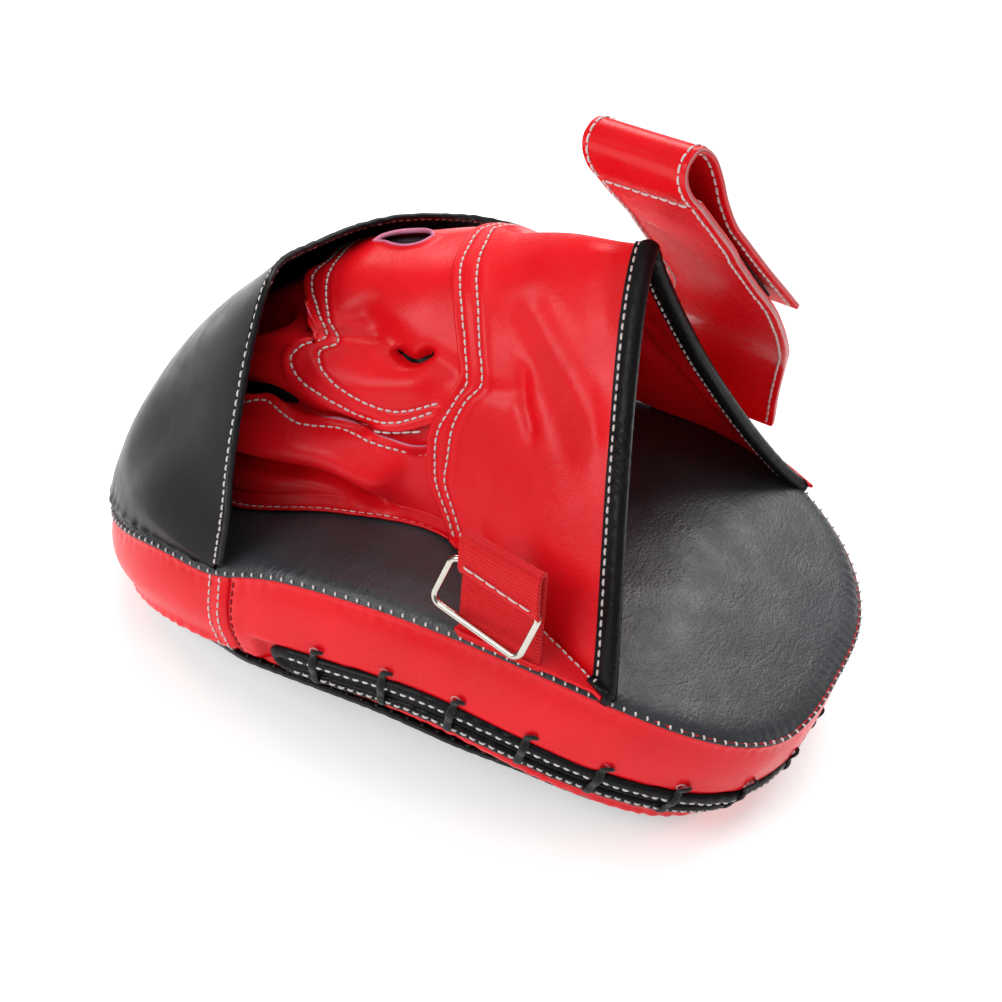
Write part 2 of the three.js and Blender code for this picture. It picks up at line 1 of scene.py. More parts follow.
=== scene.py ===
"""Curved boxing focus pad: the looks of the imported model. Metres in Blender; the design numbers
below are millimetres in the pad's own frame before its box is centred."""
import math
import bpy
import numpy as np
from mathutils import Matrix, Vector


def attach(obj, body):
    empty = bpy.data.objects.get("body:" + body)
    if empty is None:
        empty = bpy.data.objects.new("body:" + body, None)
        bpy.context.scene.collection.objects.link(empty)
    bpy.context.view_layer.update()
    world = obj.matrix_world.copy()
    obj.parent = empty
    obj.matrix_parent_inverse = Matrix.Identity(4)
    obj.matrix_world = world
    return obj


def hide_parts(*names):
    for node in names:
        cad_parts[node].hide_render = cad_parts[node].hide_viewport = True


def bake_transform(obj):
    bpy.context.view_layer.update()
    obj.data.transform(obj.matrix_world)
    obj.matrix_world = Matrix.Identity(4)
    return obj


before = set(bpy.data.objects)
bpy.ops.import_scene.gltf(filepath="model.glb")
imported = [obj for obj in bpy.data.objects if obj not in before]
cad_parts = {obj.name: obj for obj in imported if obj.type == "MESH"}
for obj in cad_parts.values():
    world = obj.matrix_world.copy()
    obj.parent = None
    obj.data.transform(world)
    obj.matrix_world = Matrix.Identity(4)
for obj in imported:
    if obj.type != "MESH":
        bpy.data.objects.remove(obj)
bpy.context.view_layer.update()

# ---- design numbers, in millimetres, before the box is centred ----
PAD_LENGTH, PAD_WIDTH = 265.0, 172.4
ARCH_HALF, ARCH_TILT = 0.5352, 0.0359
MIDDLE, TAPER, CROWN = 42.4, 9.72, 3.53
FINGER_ROUND, WRIST_ROUND = 2.275, 3.027
WIDTH_TAPER, WIDTH_WAIST = 0.0704, 0.0234
HALF = PAD_LENGTH / 2
RADIUS = HALF / ARCH_HALF
CENTRE = np.array([6.0, 0.0, -198.0])
SHIFT = np.array([-0.234, 0.0, 0.0])


def smooth(x, a, b):
    t = np.clip((np.asarray(x, float) - a) / (b - a), 0, 1)
    return t * t * (3 - 2 * t)


def unit(v):
    v = np.asarray(v, float)
    return v / np.maximum(np.linalg.norm(v, axis=-1, keepdims=True), 1e-12)


def hill(x, at, half):
    """A smooth rise to 1 at one place, a little under 0.4 at half away from it."""
    return np.exp(-(((x - at) / half) ** 2))


def length_along(points):
    """Length run from the first of the points to each."""
    return np.r_[0, np.cumsum(np.linalg.norm(np.diff(points, axis=0), axis=1))]


def read(at, run, rows):
    """Rows given at run, read at other places."""
    return np.stack([np.interp(at, run, rows[:, k]) for k in range(rows.shape[1])], 1)


def even_shares(rows, n):
    """Rows at even shares, read at n even shares."""
    return read(np.linspace(0, 1, n), np.linspace(0, 1, len(rows)), rows)


def grid(a, b):
    return np.meshgrid(a, b, indexing="ij")


def curve(points, t):
    """Points of a centripetal Catmull-Rom curve at shares t of its points."""
    p = np.asarray(points, float)
    p = np.vstack([2 * p[0] - p[1], p, 2 * p[-1] - p[-2]])
    t = np.clip(np.asarray(t, float), 0, 1) * (len(p) - 3)
    i = np.minimum(t.astype(int), len(p) - 4)
    w = (t - i)[..., None]
    a, b, c, d = p[i], p[i + 1], p[i + 2], p[i + 3]
    step = lambda x, y: np.maximum(np.linalg.norm(y - x, axis=-1, keepdims=True) ** 0.5, 1e-4)
    d0, d1, d2 = step(a, b), step(b, c), step(c, d)
    m1 = ((b - a) / d0 - (c - a) / (d0 + d1) + (c - b) / d1) * d1
    m2 = ((c - b) / d1 - (d - b) / (d1 + d2) + (d - c) / d2) * d1
    return b + m1 * w + (-3 * b + 3 * c - 2 * m1 - m2) * w**2 + (2 * b - 2 * c + m1 + m2) * w**3


def even(points, step):
    """A curve through the points, resampled at even steps along its length."""
    fine = curve(points, np.linspace(0, 1, 40 * len(points)))
    run = length_along(fine)
    return read(np.linspace(0, run[-1], max(2, int(round(run[-1] / step)) + 1)), run, fine)


def thickness(s):
    """The pad's thickness along its arc."""
    u = s / HALF
    return MIDDLE - CROWN + TAPER * u + CROWN * (1 - u * u)


def pad(s, y, h):
    """s along the arc, y across, h above the strike face."""
    s, y, h = np.broadcast_arrays(*(np.asarray(v, float) for v in (s, y, h)))
    end = np.clip(s, -HALF, HALF)
    low = (RADIUS - thickness(end) / 2) * np.cos(end / RADIUS - ARCH_TILT) + CENTRE[2]
    angle = s / RADIUS - ARCH_TILT
    ray = RADIUS - thickness(s) / 2 + h
    z = CENTRE[2] + ray * np.cos(angle) + np.maximum(0, -low)
    return np.stack([CENTRE[0] + ray * np.sin(angle), y, z], -1)


def outline(angle, out=0.0):
    """(s, y) of the pad's edge at an angle, moved outwards; angle 0 is the wrist end, pi the fingers."""
    def at(a):
        c, s = np.cos(a), np.sin(a)
        n = np.where(c < 0, FINGER_ROUND, WRIST_ROUND)
        u = np.sign(c) * np.abs(c) ** (2 / n)
        side = np.sign(s) * np.abs(s) ** (2 / n)
        width = 1 - WIDTH_TAPER * u - WIDTH_WAIST * (1 - u * u)
        return np.stack([u * HALF, side * width * PAD_WIDTH / 2], -1)

    angle = np.asarray(angle, float)
    d = unit(at(angle + 1e-3) - at(angle - 1e-3))
    p = at(angle)
    return p[..., 0] + d[..., 1] * out, p[..., 1] - d[..., 0] * out


def angle_at(u, far):
    """Angle of the edge where s is u times half the pad's length, on the far side or the near."""
    n = FINGER_ROUND if u < 0 else WRIST_ROUND
    a = math.acos(math.copysign(abs(u) ** (n / 2), u))
    return a if far else 2 * math.pi - a


def back_height(s, share):
    """Height of the padded back over the strike face, share 0 in its middle and 1 at its seam. The
    hood pulls that seam down beside its rim."""
    pull = 5 * hill(s / HALF, -0.42, 0.13)
    return thickness(s) + 4 * (1 - share**3) - pull * share**8


def share_of(s, y):
    """How far out on the pad a place is: 0 in the middle, 1 at the edge."""
    u = np.clip(s / HALF, -1, 1)
    n = np.where(u < 0, FINGER_ROUND, WRIST_ROUND)
    half = PAD_WIDTH / 2 * (1 - WIDTH_TAPER * u - WIDTH_WAIST * (1 - u * u))
    return np.minimum(1, (np.abs(u) ** n + np.abs(y / half) ** n) ** (1 / n))


def along_back(x, y, lift=0.0):
    """Length along the bent pad at a place over it."""
    s = x - CENTRE[0]
    for _ in range(12):  # settles well within a thousandth of a millimetre
        s = s + x - pad(s, y, back_height(s, share_of(s, y)) + lift)[..., 0]
    return s


def on_back(x, y, lift=0.0):
    """The point of the padded back under or over a place."""
    x, y = np.asarray(x, float), np.asarray(y, float)
    s = along_back(x, y, lift)
    return pad(s, y, back_height(s, share_of(s, y)) + lift)


RIM = [
    (-57, -82.8, 59), (-54, -85, 82), (-54, -82, 110), (-56, -72, 128), (-58, -62, 141),
    (-61, -51, 150), (-65, -36, 151.5), (-65, -20, 150), (-61, 0, 148), (-52, 20, 145), (-40, 42, 139),
    (-32, 60, 131), (-25, 73, 123), (-25, 83, 104), (-33, 86, 70),
]
HOOD_NEAR, HOOD_FAR = angle_at(-0.4, False), angle_at(-0.3, True)


def hood(a, b):
    """The hood from its seam (b = 0) to its rim (b = 1), from the near foot (a = 0) to the far."""
    a, b = np.broadcast_arrays(np.asarray(a, float), np.asarray(b, float))
    s, y = outline(HOOD_NEAR + (HOOD_FAR - HOOD_NEAR) * a, -1)
    foot = pad(s, y, back_height(s, 1.0) + 0.6)
    rim = curve(RIM, a)
    knee = foot + (rim - foot) * np.array([0.03, 0.2, 0.385])
    b = b[..., None]
    return foot * (1 - b) ** 2 + knee * 2 * b * (1 - b) + rim * b * b


CROWN_LINE = [
    (-98, 6, 101), (-68, 8, 129), (-42, 10, 142), (-15, 10, 155), (12, 9, 165), (43.5, 8, 172.3),
]
NEAR_FOOT = [
    (-98, -38, 0), (-66, -53, 0), (-32, -48, 0), (5, -44, 0), (42, -61, 0), (82.5, -74.5, 0),
]
FAR_FOOT = [
    (-98, 40, 0), (-62, 54, 0), (-24, 56, 0), (18, 60, 0), (60, 70, 0), (96, 69, 0),
]


def glove(p, t):
    """The glove from under the hood (p = 0) to the wrist opening (p = 1); t from the near foot
    (0) over the crown (0.5) to the far foot (1)."""
    p, t = np.broadcast_arrays(np.asarray(p, float), np.asarray(t, float))
    q = np.clip(p, 0, 1)
    c = np.cos(math.pi * t)
    foot = np.where((c > 0)[..., None], curve(NEAR_FOOT, q), curve(FAR_FOOT, q))
    crown = curve(CROWN_LINE, q)
    late, far = smooth(q, 0.35, 1), c < 0
    bow = 2 / (2.1 - np.where(far, 1.22, 0.88) * late)
    lean = 1.3 + np.where(far, late, 0.9 * smooth(q, 0.7, 1))
    out = np.abs(c) ** bow
    up = np.abs(np.sin(math.pi * t)) ** bow
    ground = on_back(foot[..., 0], foot[..., 1], 0.6)[..., 2]
    past = (p - q) * 140
    x = crown[..., 0] + (foot[..., 0] - crown[..., 0]) * np.abs(c) ** lean + past
    y = crown[..., 1] + (foot[..., 1] - crown[..., 1]) * out
    z = ground + (crown[..., 2] - ground) * up + past * 0.1
    return np.stack([x, y, z], -1)


# ---- meshes from grids and sweeps ----
RNG = np.random.default_rng(11)


def metres(points):
    """Design millimetres to the frame's metres."""
    return (np.asarray(points, float) + SHIFT) / 1000


def grid_faces(n, m, wrap=False):
    i = np.arange(n if wrap else n - 1)[:, None]
    j = np.arange(m - 1)[None, :]
    a = i * m + j
    b = ((i + 1) % n) * m + j
    return np.stack([a, b, b + 1, a + 1], -1).reshape(-1, 4)


def normals(points, inside):
    """Unit normals of a grid, pointing away from a point inside."""
    n = unit(np.cross(np.gradient(points, axis=0), np.gradient(points, axis=1)))
    return n if (n * (points - inside)).sum(-1).mean() > 0 else -n


def mesh(name, verts, faces, materials, body, stands_for=(), slot=None, face_mats=None):
    """A smooth piece that rides on a body; body None leaves it on no body."""
    data = bpy.data.meshes.new(name)
    data.from_pydata(metres(verts).tolist(), [], [list(map(int, f)) for f in faces])
    for m in materials:
        data.materials.append(m)
    data.polygons.foreach_set("use_smooth", np.ones(len(data.polygons), bool))
    if face_mats is not None:
        data.polygons.foreach_set("material_index", np.asarray(face_mats, np.int32))
    data.update()
    obj = bpy.data.objects.new(name, data)
    bpy.context.scene.collection.objects.link(obj)
    if body:
        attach(obj, body)
    if stands_for:
        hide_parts(*stands_for)
    return obj


def panel(name, points, material, thick, inside, rim=None, wrap=False, drop=None, **more):
    """A leather layer: the grid is its outer side, thick millimetres of leather lie under it. Faces
    that drop() picks are left out; rim is the material of the cut edge."""
    faces = grid_faces(*points.shape[:2], wrap)
    flat = points.reshape(-1, 3)
    a, b, c, d = (flat[faces[:, k]] for k in range(4))
    out = np.cross(c - a, d - b)
    if (out * ((a + c) / 2 - inside)).sum() < 0:
        faces = faces[:, ::-1]
    if drop is not None:
        faces = faces[~drop(faces)]
    obj = mesh(name, flat, faces, [material, rim or material], "pad", **more)
    solid = obj.modifiers.new("leather", "SOLIDIFY")
    solid.thickness = thick / 1000
    solid.offset = -1
    solid.material_offset_rim = 1
    return obj


def frames_along(path, up, closed=False):
    """Directions (side, up) for a sweep: up is bent to stand square to the path."""
    path = np.asarray(path, float)
    if closed:
        along = np.roll(path, -1, 0) - np.roll(path, 1, 0)
    else:
        along = np.gradient(path, axis=0)
    along = unit(along)
    up = np.broadcast_to(np.asarray(up, float), path.shape)
    up = unit(up - (up * along).sum(-1, keepdims=True) * along)
    return np.cross(along, up), up


def loft_faces(n, k, closed=False):
    """Faces over n closed sections of k points each, with an end face at both ends unless closed."""
    faces = []
    for i in range(n if closed else n - 1):
        a, b = i * k, ((i + 1) % n) * k
        faces += [(a + j, b + j, b + (j + 1) % k, a + (j + 1) % k) for j in range(k)]
    if not closed:
        faces += [tuple(range(k)), tuple(range((n - 1) * k + k - 1, (n - 1) * k - 1, -1))]
    return faces


def sweep(path, up, section, closed=False):
    """Vertices and faces of a closed section, (k, 2) or (n, k, 2) in (side, up), along a path."""
    side, up = frames_along(path, up, closed)
    section = np.broadcast_to(section, (len(path),) + np.shape(section)[-2:])
    verts = path[:, None] + section[..., :1] * side[:, None] + section[..., 1:] * up[:, None]
    return verts.reshape(-1, 3), loft_faces(*section.shape[:2], closed)


def ring_section(width, height, sides=12):
    a = np.linspace(0, 2 * math.pi, sides, endpoint=False)
    return np.stack([np.cos(a) * width, np.sin(a) * height], -1)


def tube(name, path, up, width, height, material, body="pad", sides=12, closed=False, size=None, **more):
    """A round or flat rod along a path; size scales its section along the way, in one or both ways."""
    section = ring_section(width, height, sides)
    if size is not None:
        section = section * size.reshape(len(path), 1, -1)
    return mesh(name, *sweep(np.asarray(path, float), up, section, closed), [material], body, **more)


def along_path(step, path, *fields):
    """A path and what goes with it at even steps."""
    run = length_along(np.asarray(path, float))
    at = np.arange(0, run[-1], step)
    return [read(at, run, np.asarray(f, float)) for f in (path, *fields)]


# A stitch in five rings: share of its length, height and thickness at each, by its radius.
STITCH_SHARES = np.array([0.0, 0.14, 0.5, 0.86, 1.0])
STITCH_LIFT = np.array([-0.9, 0.35, 0.6, 0.35, -0.9])
STITCH_SIZE = np.array([0.6, 1.0, 1.08, 1.0, 0.6])


def stitches(name, path, normal, body="pad", pitch=2.6, length=1.9, radius=0.36, cross=None, slant=0.0,
             material=None):
    """A row of thread stitches on a path; with cross they lie over the path like a whip stitch."""
    step, jitter = 0.1, 0.05
    fields = [normal] if cross is None else [normal, cross]
    path, normal, *cross = along_path(step, path, *(np.broadcast_to(f, np.shape(path)) for f in fields))
    normal = unit(normal)
    section = ring_section(1, 0.85, 6) * (STITCH_SIZE * radius)[:, None, None]
    lift = (STITCH_LIFT * radius)[:, None]
    every, count = int(round(pitch / step)), int(round(length / step))
    verts, faces = [], []
    for start in range(every // 3, len(path) - (1 if cross else count), every):
        if cross:
            along = path[min(start + 1, len(path) - 1)] - path[max(start - 1, 0)]
            d = unit(unit(cross[0][start]) + slant * unit(along))
            n = np.repeat(normal[start][None], 5, 0)
            p = path[start] + d * ((STITCH_SHARES - 0.5) * length)[:, None] + n * lift
        else:
            i = start + (STITCH_SHARES * count).astype(int)
            n = normal[i]
            p = path[i] + n * lift
        v, f = sweep(p + RNG.normal(0, jitter, 3), n, section)
        first = len(v) * len(verts)
        faces += [tuple(x + first for x in face) for face in f]
        verts.append(v)
    return mesh(name, np.concatenate(verts), faces, [material or THREAD], body)


# ---- materials ----
class Shader:
    """A material's nodes, built one after the other. Sizes are in metres on the object."""

    def __init__(self, name, **uniform):
        self.material = bpy.data.materials.new(name)
        self.material.use_nodes = True
        self.tree = self.material.node_tree
        self.bsdf = self.tree.nodes["Principled BSDF"]
        for key, value in uniform.items():
            self.bsdf.inputs[key.replace("_", " ")].default_value = value
        self.place = self.tree.nodes.new("ShaderNodeTexCoord").outputs["Object"]
        self.bump = None

    def node(self, kind, inputs=(), **settings):
        made = self.tree.nodes.new("ShaderNode" + kind)
        for key, value in settings.items():
            setattr(made, key, value)
        for key, value in dict(inputs).items():
            if isinstance(value, bpy.types.NodeSocket):
                self.tree.links.new(value, made.inputs[key])
            else:
                made.inputs[key].default_value = value
        return made

    def noise(self, size, detail=3.0, rough=0.55, stretch=None, distortion=0.0):
        place = self.place
        if stretch:
            place = self.node("Mapping", {"Vector": place, "Scale": stretch}).outputs[0]
        inputs = {"Scale": 1 / size, "Detail": detail, "Roughness": rough, "Distortion": distortion}
        return self.node("TexNoise", {"Vector": place, **inputs}).outputs["Fac"]

    def cells(self, size, feature="F1", **inputs):
        inputs.update(Vector=self.place, Scale=1 / size)
        return self.node("TexVoronoi", inputs, feature=feature).outputs["Distance"]

    def remap(self, value, low, high, to_low, to_high):
        inputs = {"From Min": low, "From Max": high, "To Min": to_low, "To Max": to_high}
        return self.node("MapRange", {"Value": value, **inputs}).outputs["Result"]

    def mix(self, value, a, b):
        """Colour a where value is 0 and b where it is 1; 6, 7 and 2 are the node's colour sockets."""
        return self.node("Mix", {0: value, 6: (*a, 1), 7: (*b, 1)}, data_type="RGBA").outputs[2]

    def colour(self, socket):
        self.tree.links.new(socket, self.bsdf.inputs["Base Color"])

    def rough(self, socket):
        self.tree.links.new(socket, self.bsdf.inputs["Roughness"])

    def raise_by(self, height, depth, strength=1.0):
        """Adds a bump of that height field, depth in metres."""
        inputs = {"Height": height, "Distance": depth, "Strength": strength}
        if self.bump is not None:
            inputs["Normal"] = self.bump
        self.bump = self.node("Bump", inputs).outputs["Normal"]
        self.tree.links.new(self.bump, self.bsdf.inputs["Normal"])


def leather(name, colour, deep, rough, grain, depth, crease=0.0, crease_size=0.01, coat=0.0,
            coat_rough=0.25, spec=0.5):
    """Coated leather: a fine pebble, soft creases, a mottled colour and an uneven sheen."""
    s = Shader(name, Coat_Weight=coat, Coat_Roughness=coat_rough, Specular_IOR_Level=spec)
    s.colour(s.mix(s.remap(s.noise(0.035, 4), 0.35, 0.7, 0, 1), colour, deep))
    s.rough(s.remap(s.noise(0.012, 5), 0.3, 0.7, rough - 0.07, rough + 0.09))
    s.raise_by(s.cells(grain, "SMOOTH_F1", Smoothness=0.6), -depth, 1.0)
    s.raise_by(s.noise(grain * 0.45, 2), depth * 0.5, 0.6)
    if crease:
        folds = s.noise(crease_size, 3, 0.5, (1, 0.45, 1), 0.6)
        ridge = s.node("Math", {0: folds, 1: 0.5}, operation="SUBTRACT").outputs[0]
        ridge = s.node("Math", {0: ridge}, operation="ABSOLUTE").outputs[0]
        s.raise_by(s.remap(ridge, 0, 0.12, 0, 1), crease, 0.8)
    return s.material


def woven(name, colour, deep, rough, thread, depth, sheen=0.2):
    """Woven tape or cord: crossed threads under a soft nap."""
    s = Shader(name, Sheen_Weight=sheen, Specular_IOR_Level=0.25)
    crossed = {"Vector": s.place, "Scale": 0.32 / thread, "Distortion": 0.6}
    warp = s.node("TexWave", crossed, bands_direction="DIAGONAL").outputs["Fac"]
    weft = s.cells(thread)
    both = s.node("Math", {0: warp, 1: weft}, operation="MULTIPLY").outputs[0]
    s.colour(s.mix(s.remap(both, 0.0, 0.5, 0, 1), deep, colour))
    s.rough(s.remap(s.noise(0.004), 0.3, 0.7, rough - 0.06, rough + 0.06))
    s.raise_by(both, depth)
    return s.material


# Each has two colours it is mottled between, a roughness, and its grain's size and depth in metres.
RED, RED_DEEP = (0.84, 0.006, 0.014), (0.70, 0.004, 0.009)
RED_LEATHER = leather("red leather", RED, RED_DEEP, 0.36, 0.00075, 0.00004, 0.00006, 0.016, spec=0.24)
RED_WALL = leather("red wall leather", (0.84, 0.006, 0.015), RED_DEEP, 0.31, 0.0008, 0.00003, 0.00004,
                   0.02, spec=0.28)
STRAP_RED = leather("strap red", (0.80, 0.005, 0.012), (0.68, 0.004, 0.009), 0.26, 0.0009, 0.00003,
                    0.00004, 0.03, coat=0.05, coat_rough=0.16, spec=0.24)
BLACK_SATIN = leather("black satin leather", (0.004, 0.004, 0.0045), (0.006, 0.006, 0.007), 0.28, 0.0007,
                      0.00002, 0.00003, 0.03, spec=0.08)
BLACK_GRAIN = leather("black grained leather", (0.024, 0.026, 0.030), (0.034, 0.037, 0.043), 0.46,
                      0.0010, 0.00012, 0.00007, 0.0050, spec=0.65)
BLACK_TRIM = leather("black binding", (0.006, 0.006, 0.007), (0.010, 0.010, 0.011), 0.36, 0.0006,
                     0.00004, 0.00008, 0.006, spec=0.14)
CUT_EDGE = leather("cut edge", (0.80, 0.34, 0.46), (0.58, 0.14, 0.26), 0.8, 0.0005, 0.00008, spec=0.2)
PLY_EDGE = leather("ply edge", (0.75, 0.42, 0.42), (0.62, 0.22, 0.24), 0.7, 0.0005, 0.00006, spec=0.3)
CORD_BLACK = woven("black cord", (0.012, 0.012, 0.012), (0.004, 0.004, 0.004), 0.8, 0.0005, 0.00015)
WEBBING = woven("red webbing", (0.78, 0.008, 0.012), (0.50, 0.003, 0.006), 0.7, 0.00055, 0.00010, 0.05)
THREAD = woven("white thread", (0.82, 0.78, 0.76), (0.55, 0.48, 0.47), 0.6, 0.0003, 0.00006, 0.1)
RED_THREAD = woven("dark red thread", (0.28, 0.01, 0.02), (0.16, 0.005, 0.01), 0.6, 0.0003, 0.00006, 0.1)
BLACK_THREAD = woven("black thread", (0.012, 0.012, 0.012), (0.005, 0.005, 0.005), 0.6, 0.0003, 0.00006,
                     0.1)
HOOK_TAPE = woven("hook tape", (0.016, 0.016, 0.017), (0.005, 0.005, 0.005), 0.9, 0.0011, 0.00045)


def nickel():
    s = Shader("nickel wire", Metallic=1.0)
    s.colour(s.mix(s.noise(0.006, 3), (0.62, 0.59, 0.53), (0.48, 0.45, 0.40)))
    s.rough(s.remap(s.noise(0.0025, 4), 0.3, 0.7, 0.14, 0.27))
    s.raise_by(s.noise(0.0009, 3), 0.00001)
    return s.material


NICKEL = nickel()
FOAM = leather("foam", (0.22, 0.23, 0.24), (0.17, 0.18, 0.19), 0.9, 0.0012, 0.0002)
PINK_THREAD = woven("pinkish thread", (0.50, 0.28, 0.28), (0.3, 0.12, 0.12), 0.6, 0.0003, 0.00006, 0.1)


# ---- padded body ----
def lengths(angle):
    """Length along the pad's edge at a run of angles."""
    return length_along(pad(*outline(angle), 0))


def even_angles(start, stop, step):
    """Angles at even steps along the pad's edge."""
    fine = np.linspace(start, stop, 3000)
    run = lengths(fine)
    return np.interp(np.linspace(0, run[-1], max(3, int(round(run[-1] / step)))), run, fine)


def ripple(run, pitch, seed=0.0):
    """Uneven puckers of about one pitch along a seam, from -1 to 1."""
    turns = run * 2 * math.pi
    wander = 0.35 * np.sin(turns / 37 + seed) + 0.2 * np.sin(turns / 11.3 + 2 * seed)
    return np.sin(turns / pitch + 3 * wander) * (0.7 + wander)


WHIP_PITCH, UNDER_PITCH = 4.0, 5.5  # of the seams with the back and with the strike face
BODY_INSIDE, WALL_INSIDE = np.array([0, 0, 30.0]), CENTRE + np.array([0, 0, 225.0])
AROUND = even_angles(0, 2 * math.pi, 1.1)[:-1]
EDGE_RUN = lengths(AROUND)


def soft_noise(points, size, seed):
    """Slow waves over a surface, from about -1 to 1."""
    rng = np.random.default_rng(seed)
    total = np.zeros(np.shape(points)[:-1])
    for _ in range(9):
        k = unit(rng.normal(size=3)) * 2 * math.pi / (size * rng.uniform(0.7, 1.6))
        total += np.sin(np.asarray(points) @ k + rng.uniform(0, 7))
    return total / 3.5


def back_panel():
    radii = 1 - (1 - np.linspace(0, 1, 74)) ** 1.15
    s, y = outline(AROUND, 0.3)
    s, y = s[:, None] * radii, y[:, None] * radii
    rim = (1 - radii)[None] * 80  # millimetres from the seam, about
    h = back_height(s, np.broadcast_to(radii, s.shape))
    # It sinks into its seam and swells beside it, puckered by the whip stitches.
    h = h - 1.7 * hill(rim, 0, 1.6) + 0.5 * hill(rim, 5, 3.5)
    h = h + 0.22 * ripple(EDGE_RUN, WHIP_PITCH)[:, None] * hill(rim, 2.5, 3)
    h = h + 0.35 * soft_noise(np.stack([s, y, 0 * s], -1), 26, 5) * (1 - radii**6)
    points = pad(s, y, h)
    obj = panel("back_panel_leather", points, BLACK_GRAIN, 1.2, BODY_INSIDE, wrap=True,
                stands_for=["back_panel"], slot="black_grain")


def tucked(u):
    """Where the wall hangs over the strike face's edge: at the pad's two ends."""
    return np.maximum(smooth(u, 0.25, 0.55), smooth(-u, 0.33, 0.5))


def strike_face():
    radii = 1 - (1 - np.linspace(0, 1, 40)) ** 1.2
    radii = np.r_[radii, radii[-1], radii[-1]]
    u = outline(AROUND)[0] / HALF
    s, y = outline(AROUND, 0.9 - 2.6 * tucked(u))
    s, y = s[:, None] * radii, y[:, None] * radii
    pucker = np.clip(ripple(EDGE_RUN, UNDER_PITCH, 1.0), -1, 1)
    h = np.zeros(s.shape) + 0.25 * pucker[:, None] * (radii > 0.99)
    h[:, -2] += 1.1  # the last two rows climb the wall
    h[:, -1] += 2.0
    h = np.maximum(h, 0) + 0.12 * (radii < 0.97) * (1 + soft_noise(np.stack([s, y, 0 * s], -1), 22, 8))
    obj = panel("strike_face_leather", pad(s, y, h), BLACK_SATIN, 1.0, BODY_INSIDE, wrap=True,
                stands_for=["strike_face_panel"], slot="black_leather")


VENT_START = -0.25  # the vent band's near and far ends, in half lengths of the pad
BULGE = 4.5
SEAM_AT = -0.365  # the wall's two upright seams
LOW_EDGE, TOP_EDGE = 1.6, 1.1  # the wall's edges over the strike face and under the back's seam


def vent_height(s):
    """Height of the vent band's middle over the strike face."""
    u = s / HALF
    return (0.218 + 0.087 * smooth(u, -0.15, 0.25) + 0.1 * smooth(u, 0.5, 1)) * thickness(s)


def wall_out(s, h):
    """How far the wall bulges out at a height."""
    share = np.clip((h - 2.9) / (back_height(s, 1) - 3.6 - 2.9), 0, 1)
    return (1 + 0.3 * smooth(s / HALF, 0, 1)) * BULGE * np.sin(math.pi * share) ** 0.8


def wall_point(angle, h, out):
    """A point at the pad's edge: h above the strike face, moved outwards."""
    s, y = outline(angle, out)
    return pad(s, y, h)


VENT_NEAR, VENT_FAR = angle_at(VENT_START, False) - 2 * math.pi + 0.03, angle_at(VENT_START, True) - 0.03


def gusset(node, start, stop):
    """A piece of the red side wall between two angles; returns its angles and its points."""
    angles = even_angles(start, stop, 1.0)
    run = lengths(angles)
    shares = 0.5 - 0.5 * np.cos(np.linspace(0, math.pi, 44))
    s0 = outline(angles)[0][:, None]
    top = back_height(s0, 1) - TOP_EDGE
    h = LOW_EDGE + (top - LOW_EDGE) * shares
    out = wall_out(s0, h)
    near_top, near_low = top - h, h - LOW_EDGE
    # The upper seam, puckered by the whip stitches.
    pucker = ripple(run, WHIP_PITCH)[:, None]
    out = out + 0.45 * hill(near_top, 1.8, 1.7) - 0.9 * hill(near_top, 0, 0.7)
    out = out + 0.22 * pucker * hill(near_top, 2.2, 2.0)
    # The lower seam; the wall hangs further over it at the pad's ends.
    over = tucked(s0 / HALF)
    out = out + (0.8 + 1.3 * over) * hill(near_low, 2.6, 2.6) - 0.9 * hill(near_low, 0, 0.7)
    out = out + 0.3 * ripple(run, UNDER_PITCH, 1.0)[:, None] * hill(near_low, 2.4, 2.2)
    # The groove that the vent band lies in, with a swelling above and below it.
    middle = vent_height(s0)
    ends = smooth(s0 / HALF, VENT_START - 0.05, VENT_START - 0.015)
    out = out - 3.2 * (1 - smooth(np.abs(h - middle), 5.2, 6.4)) * ends
    out = out + 0.5 * hill(np.abs(h - middle), 7.8, 1.6) * ends
    out = out + 0.55 * soft_noise(wall_point(angles[:, None], h, 0), 34, 3) * np.sin(math.pi * shares)
    # The upright seams at both ends.
    seam = np.minimum(run, run[-1] - run)[:, None]
    out = out - 1.0 * hill(seam, 0, 1.3) + 0.35 * hill(seam, 3.5, 2)
    points = wall_point(angles[:, None] + 0 * h, h, out)
    obj = panel(f"{node}_leather", points, RED_WALL, 1.3, WALL_INSIDE, stands_for=[node],
                slot="red_leather")
    return angles, points


SEAM_NEAR, SEAM_FAR = angle_at(SEAM_AT, False) - 2 * math.pi, angle_at(SEAM_AT, True)
back_panel()
strike_face()
main_angles, main_wall = gusset("gusset_main", SEAM_NEAR + 0.002, SEAM_FAR - 0.002)
front_angles, front_wall = gusset("gusset_front", SEAM_FAR, SEAM_NEAR + 2 * math.pi)


def seam_line(angles, rise, out):
    """A line beside the pad's back seam."""
    return wall_point(angles, back_height(outline(angles)[0], 1) + rise, out)


def edge_directions(angles):
    """Outwards and upwards at the pad's edge."""
    s, _ = outline(angles)
    out = unit(wall_point(angles, thickness(s), 1) - wall_point(angles, thickness(s), 0))
    up = unit(wall_point(angles, thickness(s) + 1, 0) - wall_point(angles, thickness(s), 0))
    return out, up


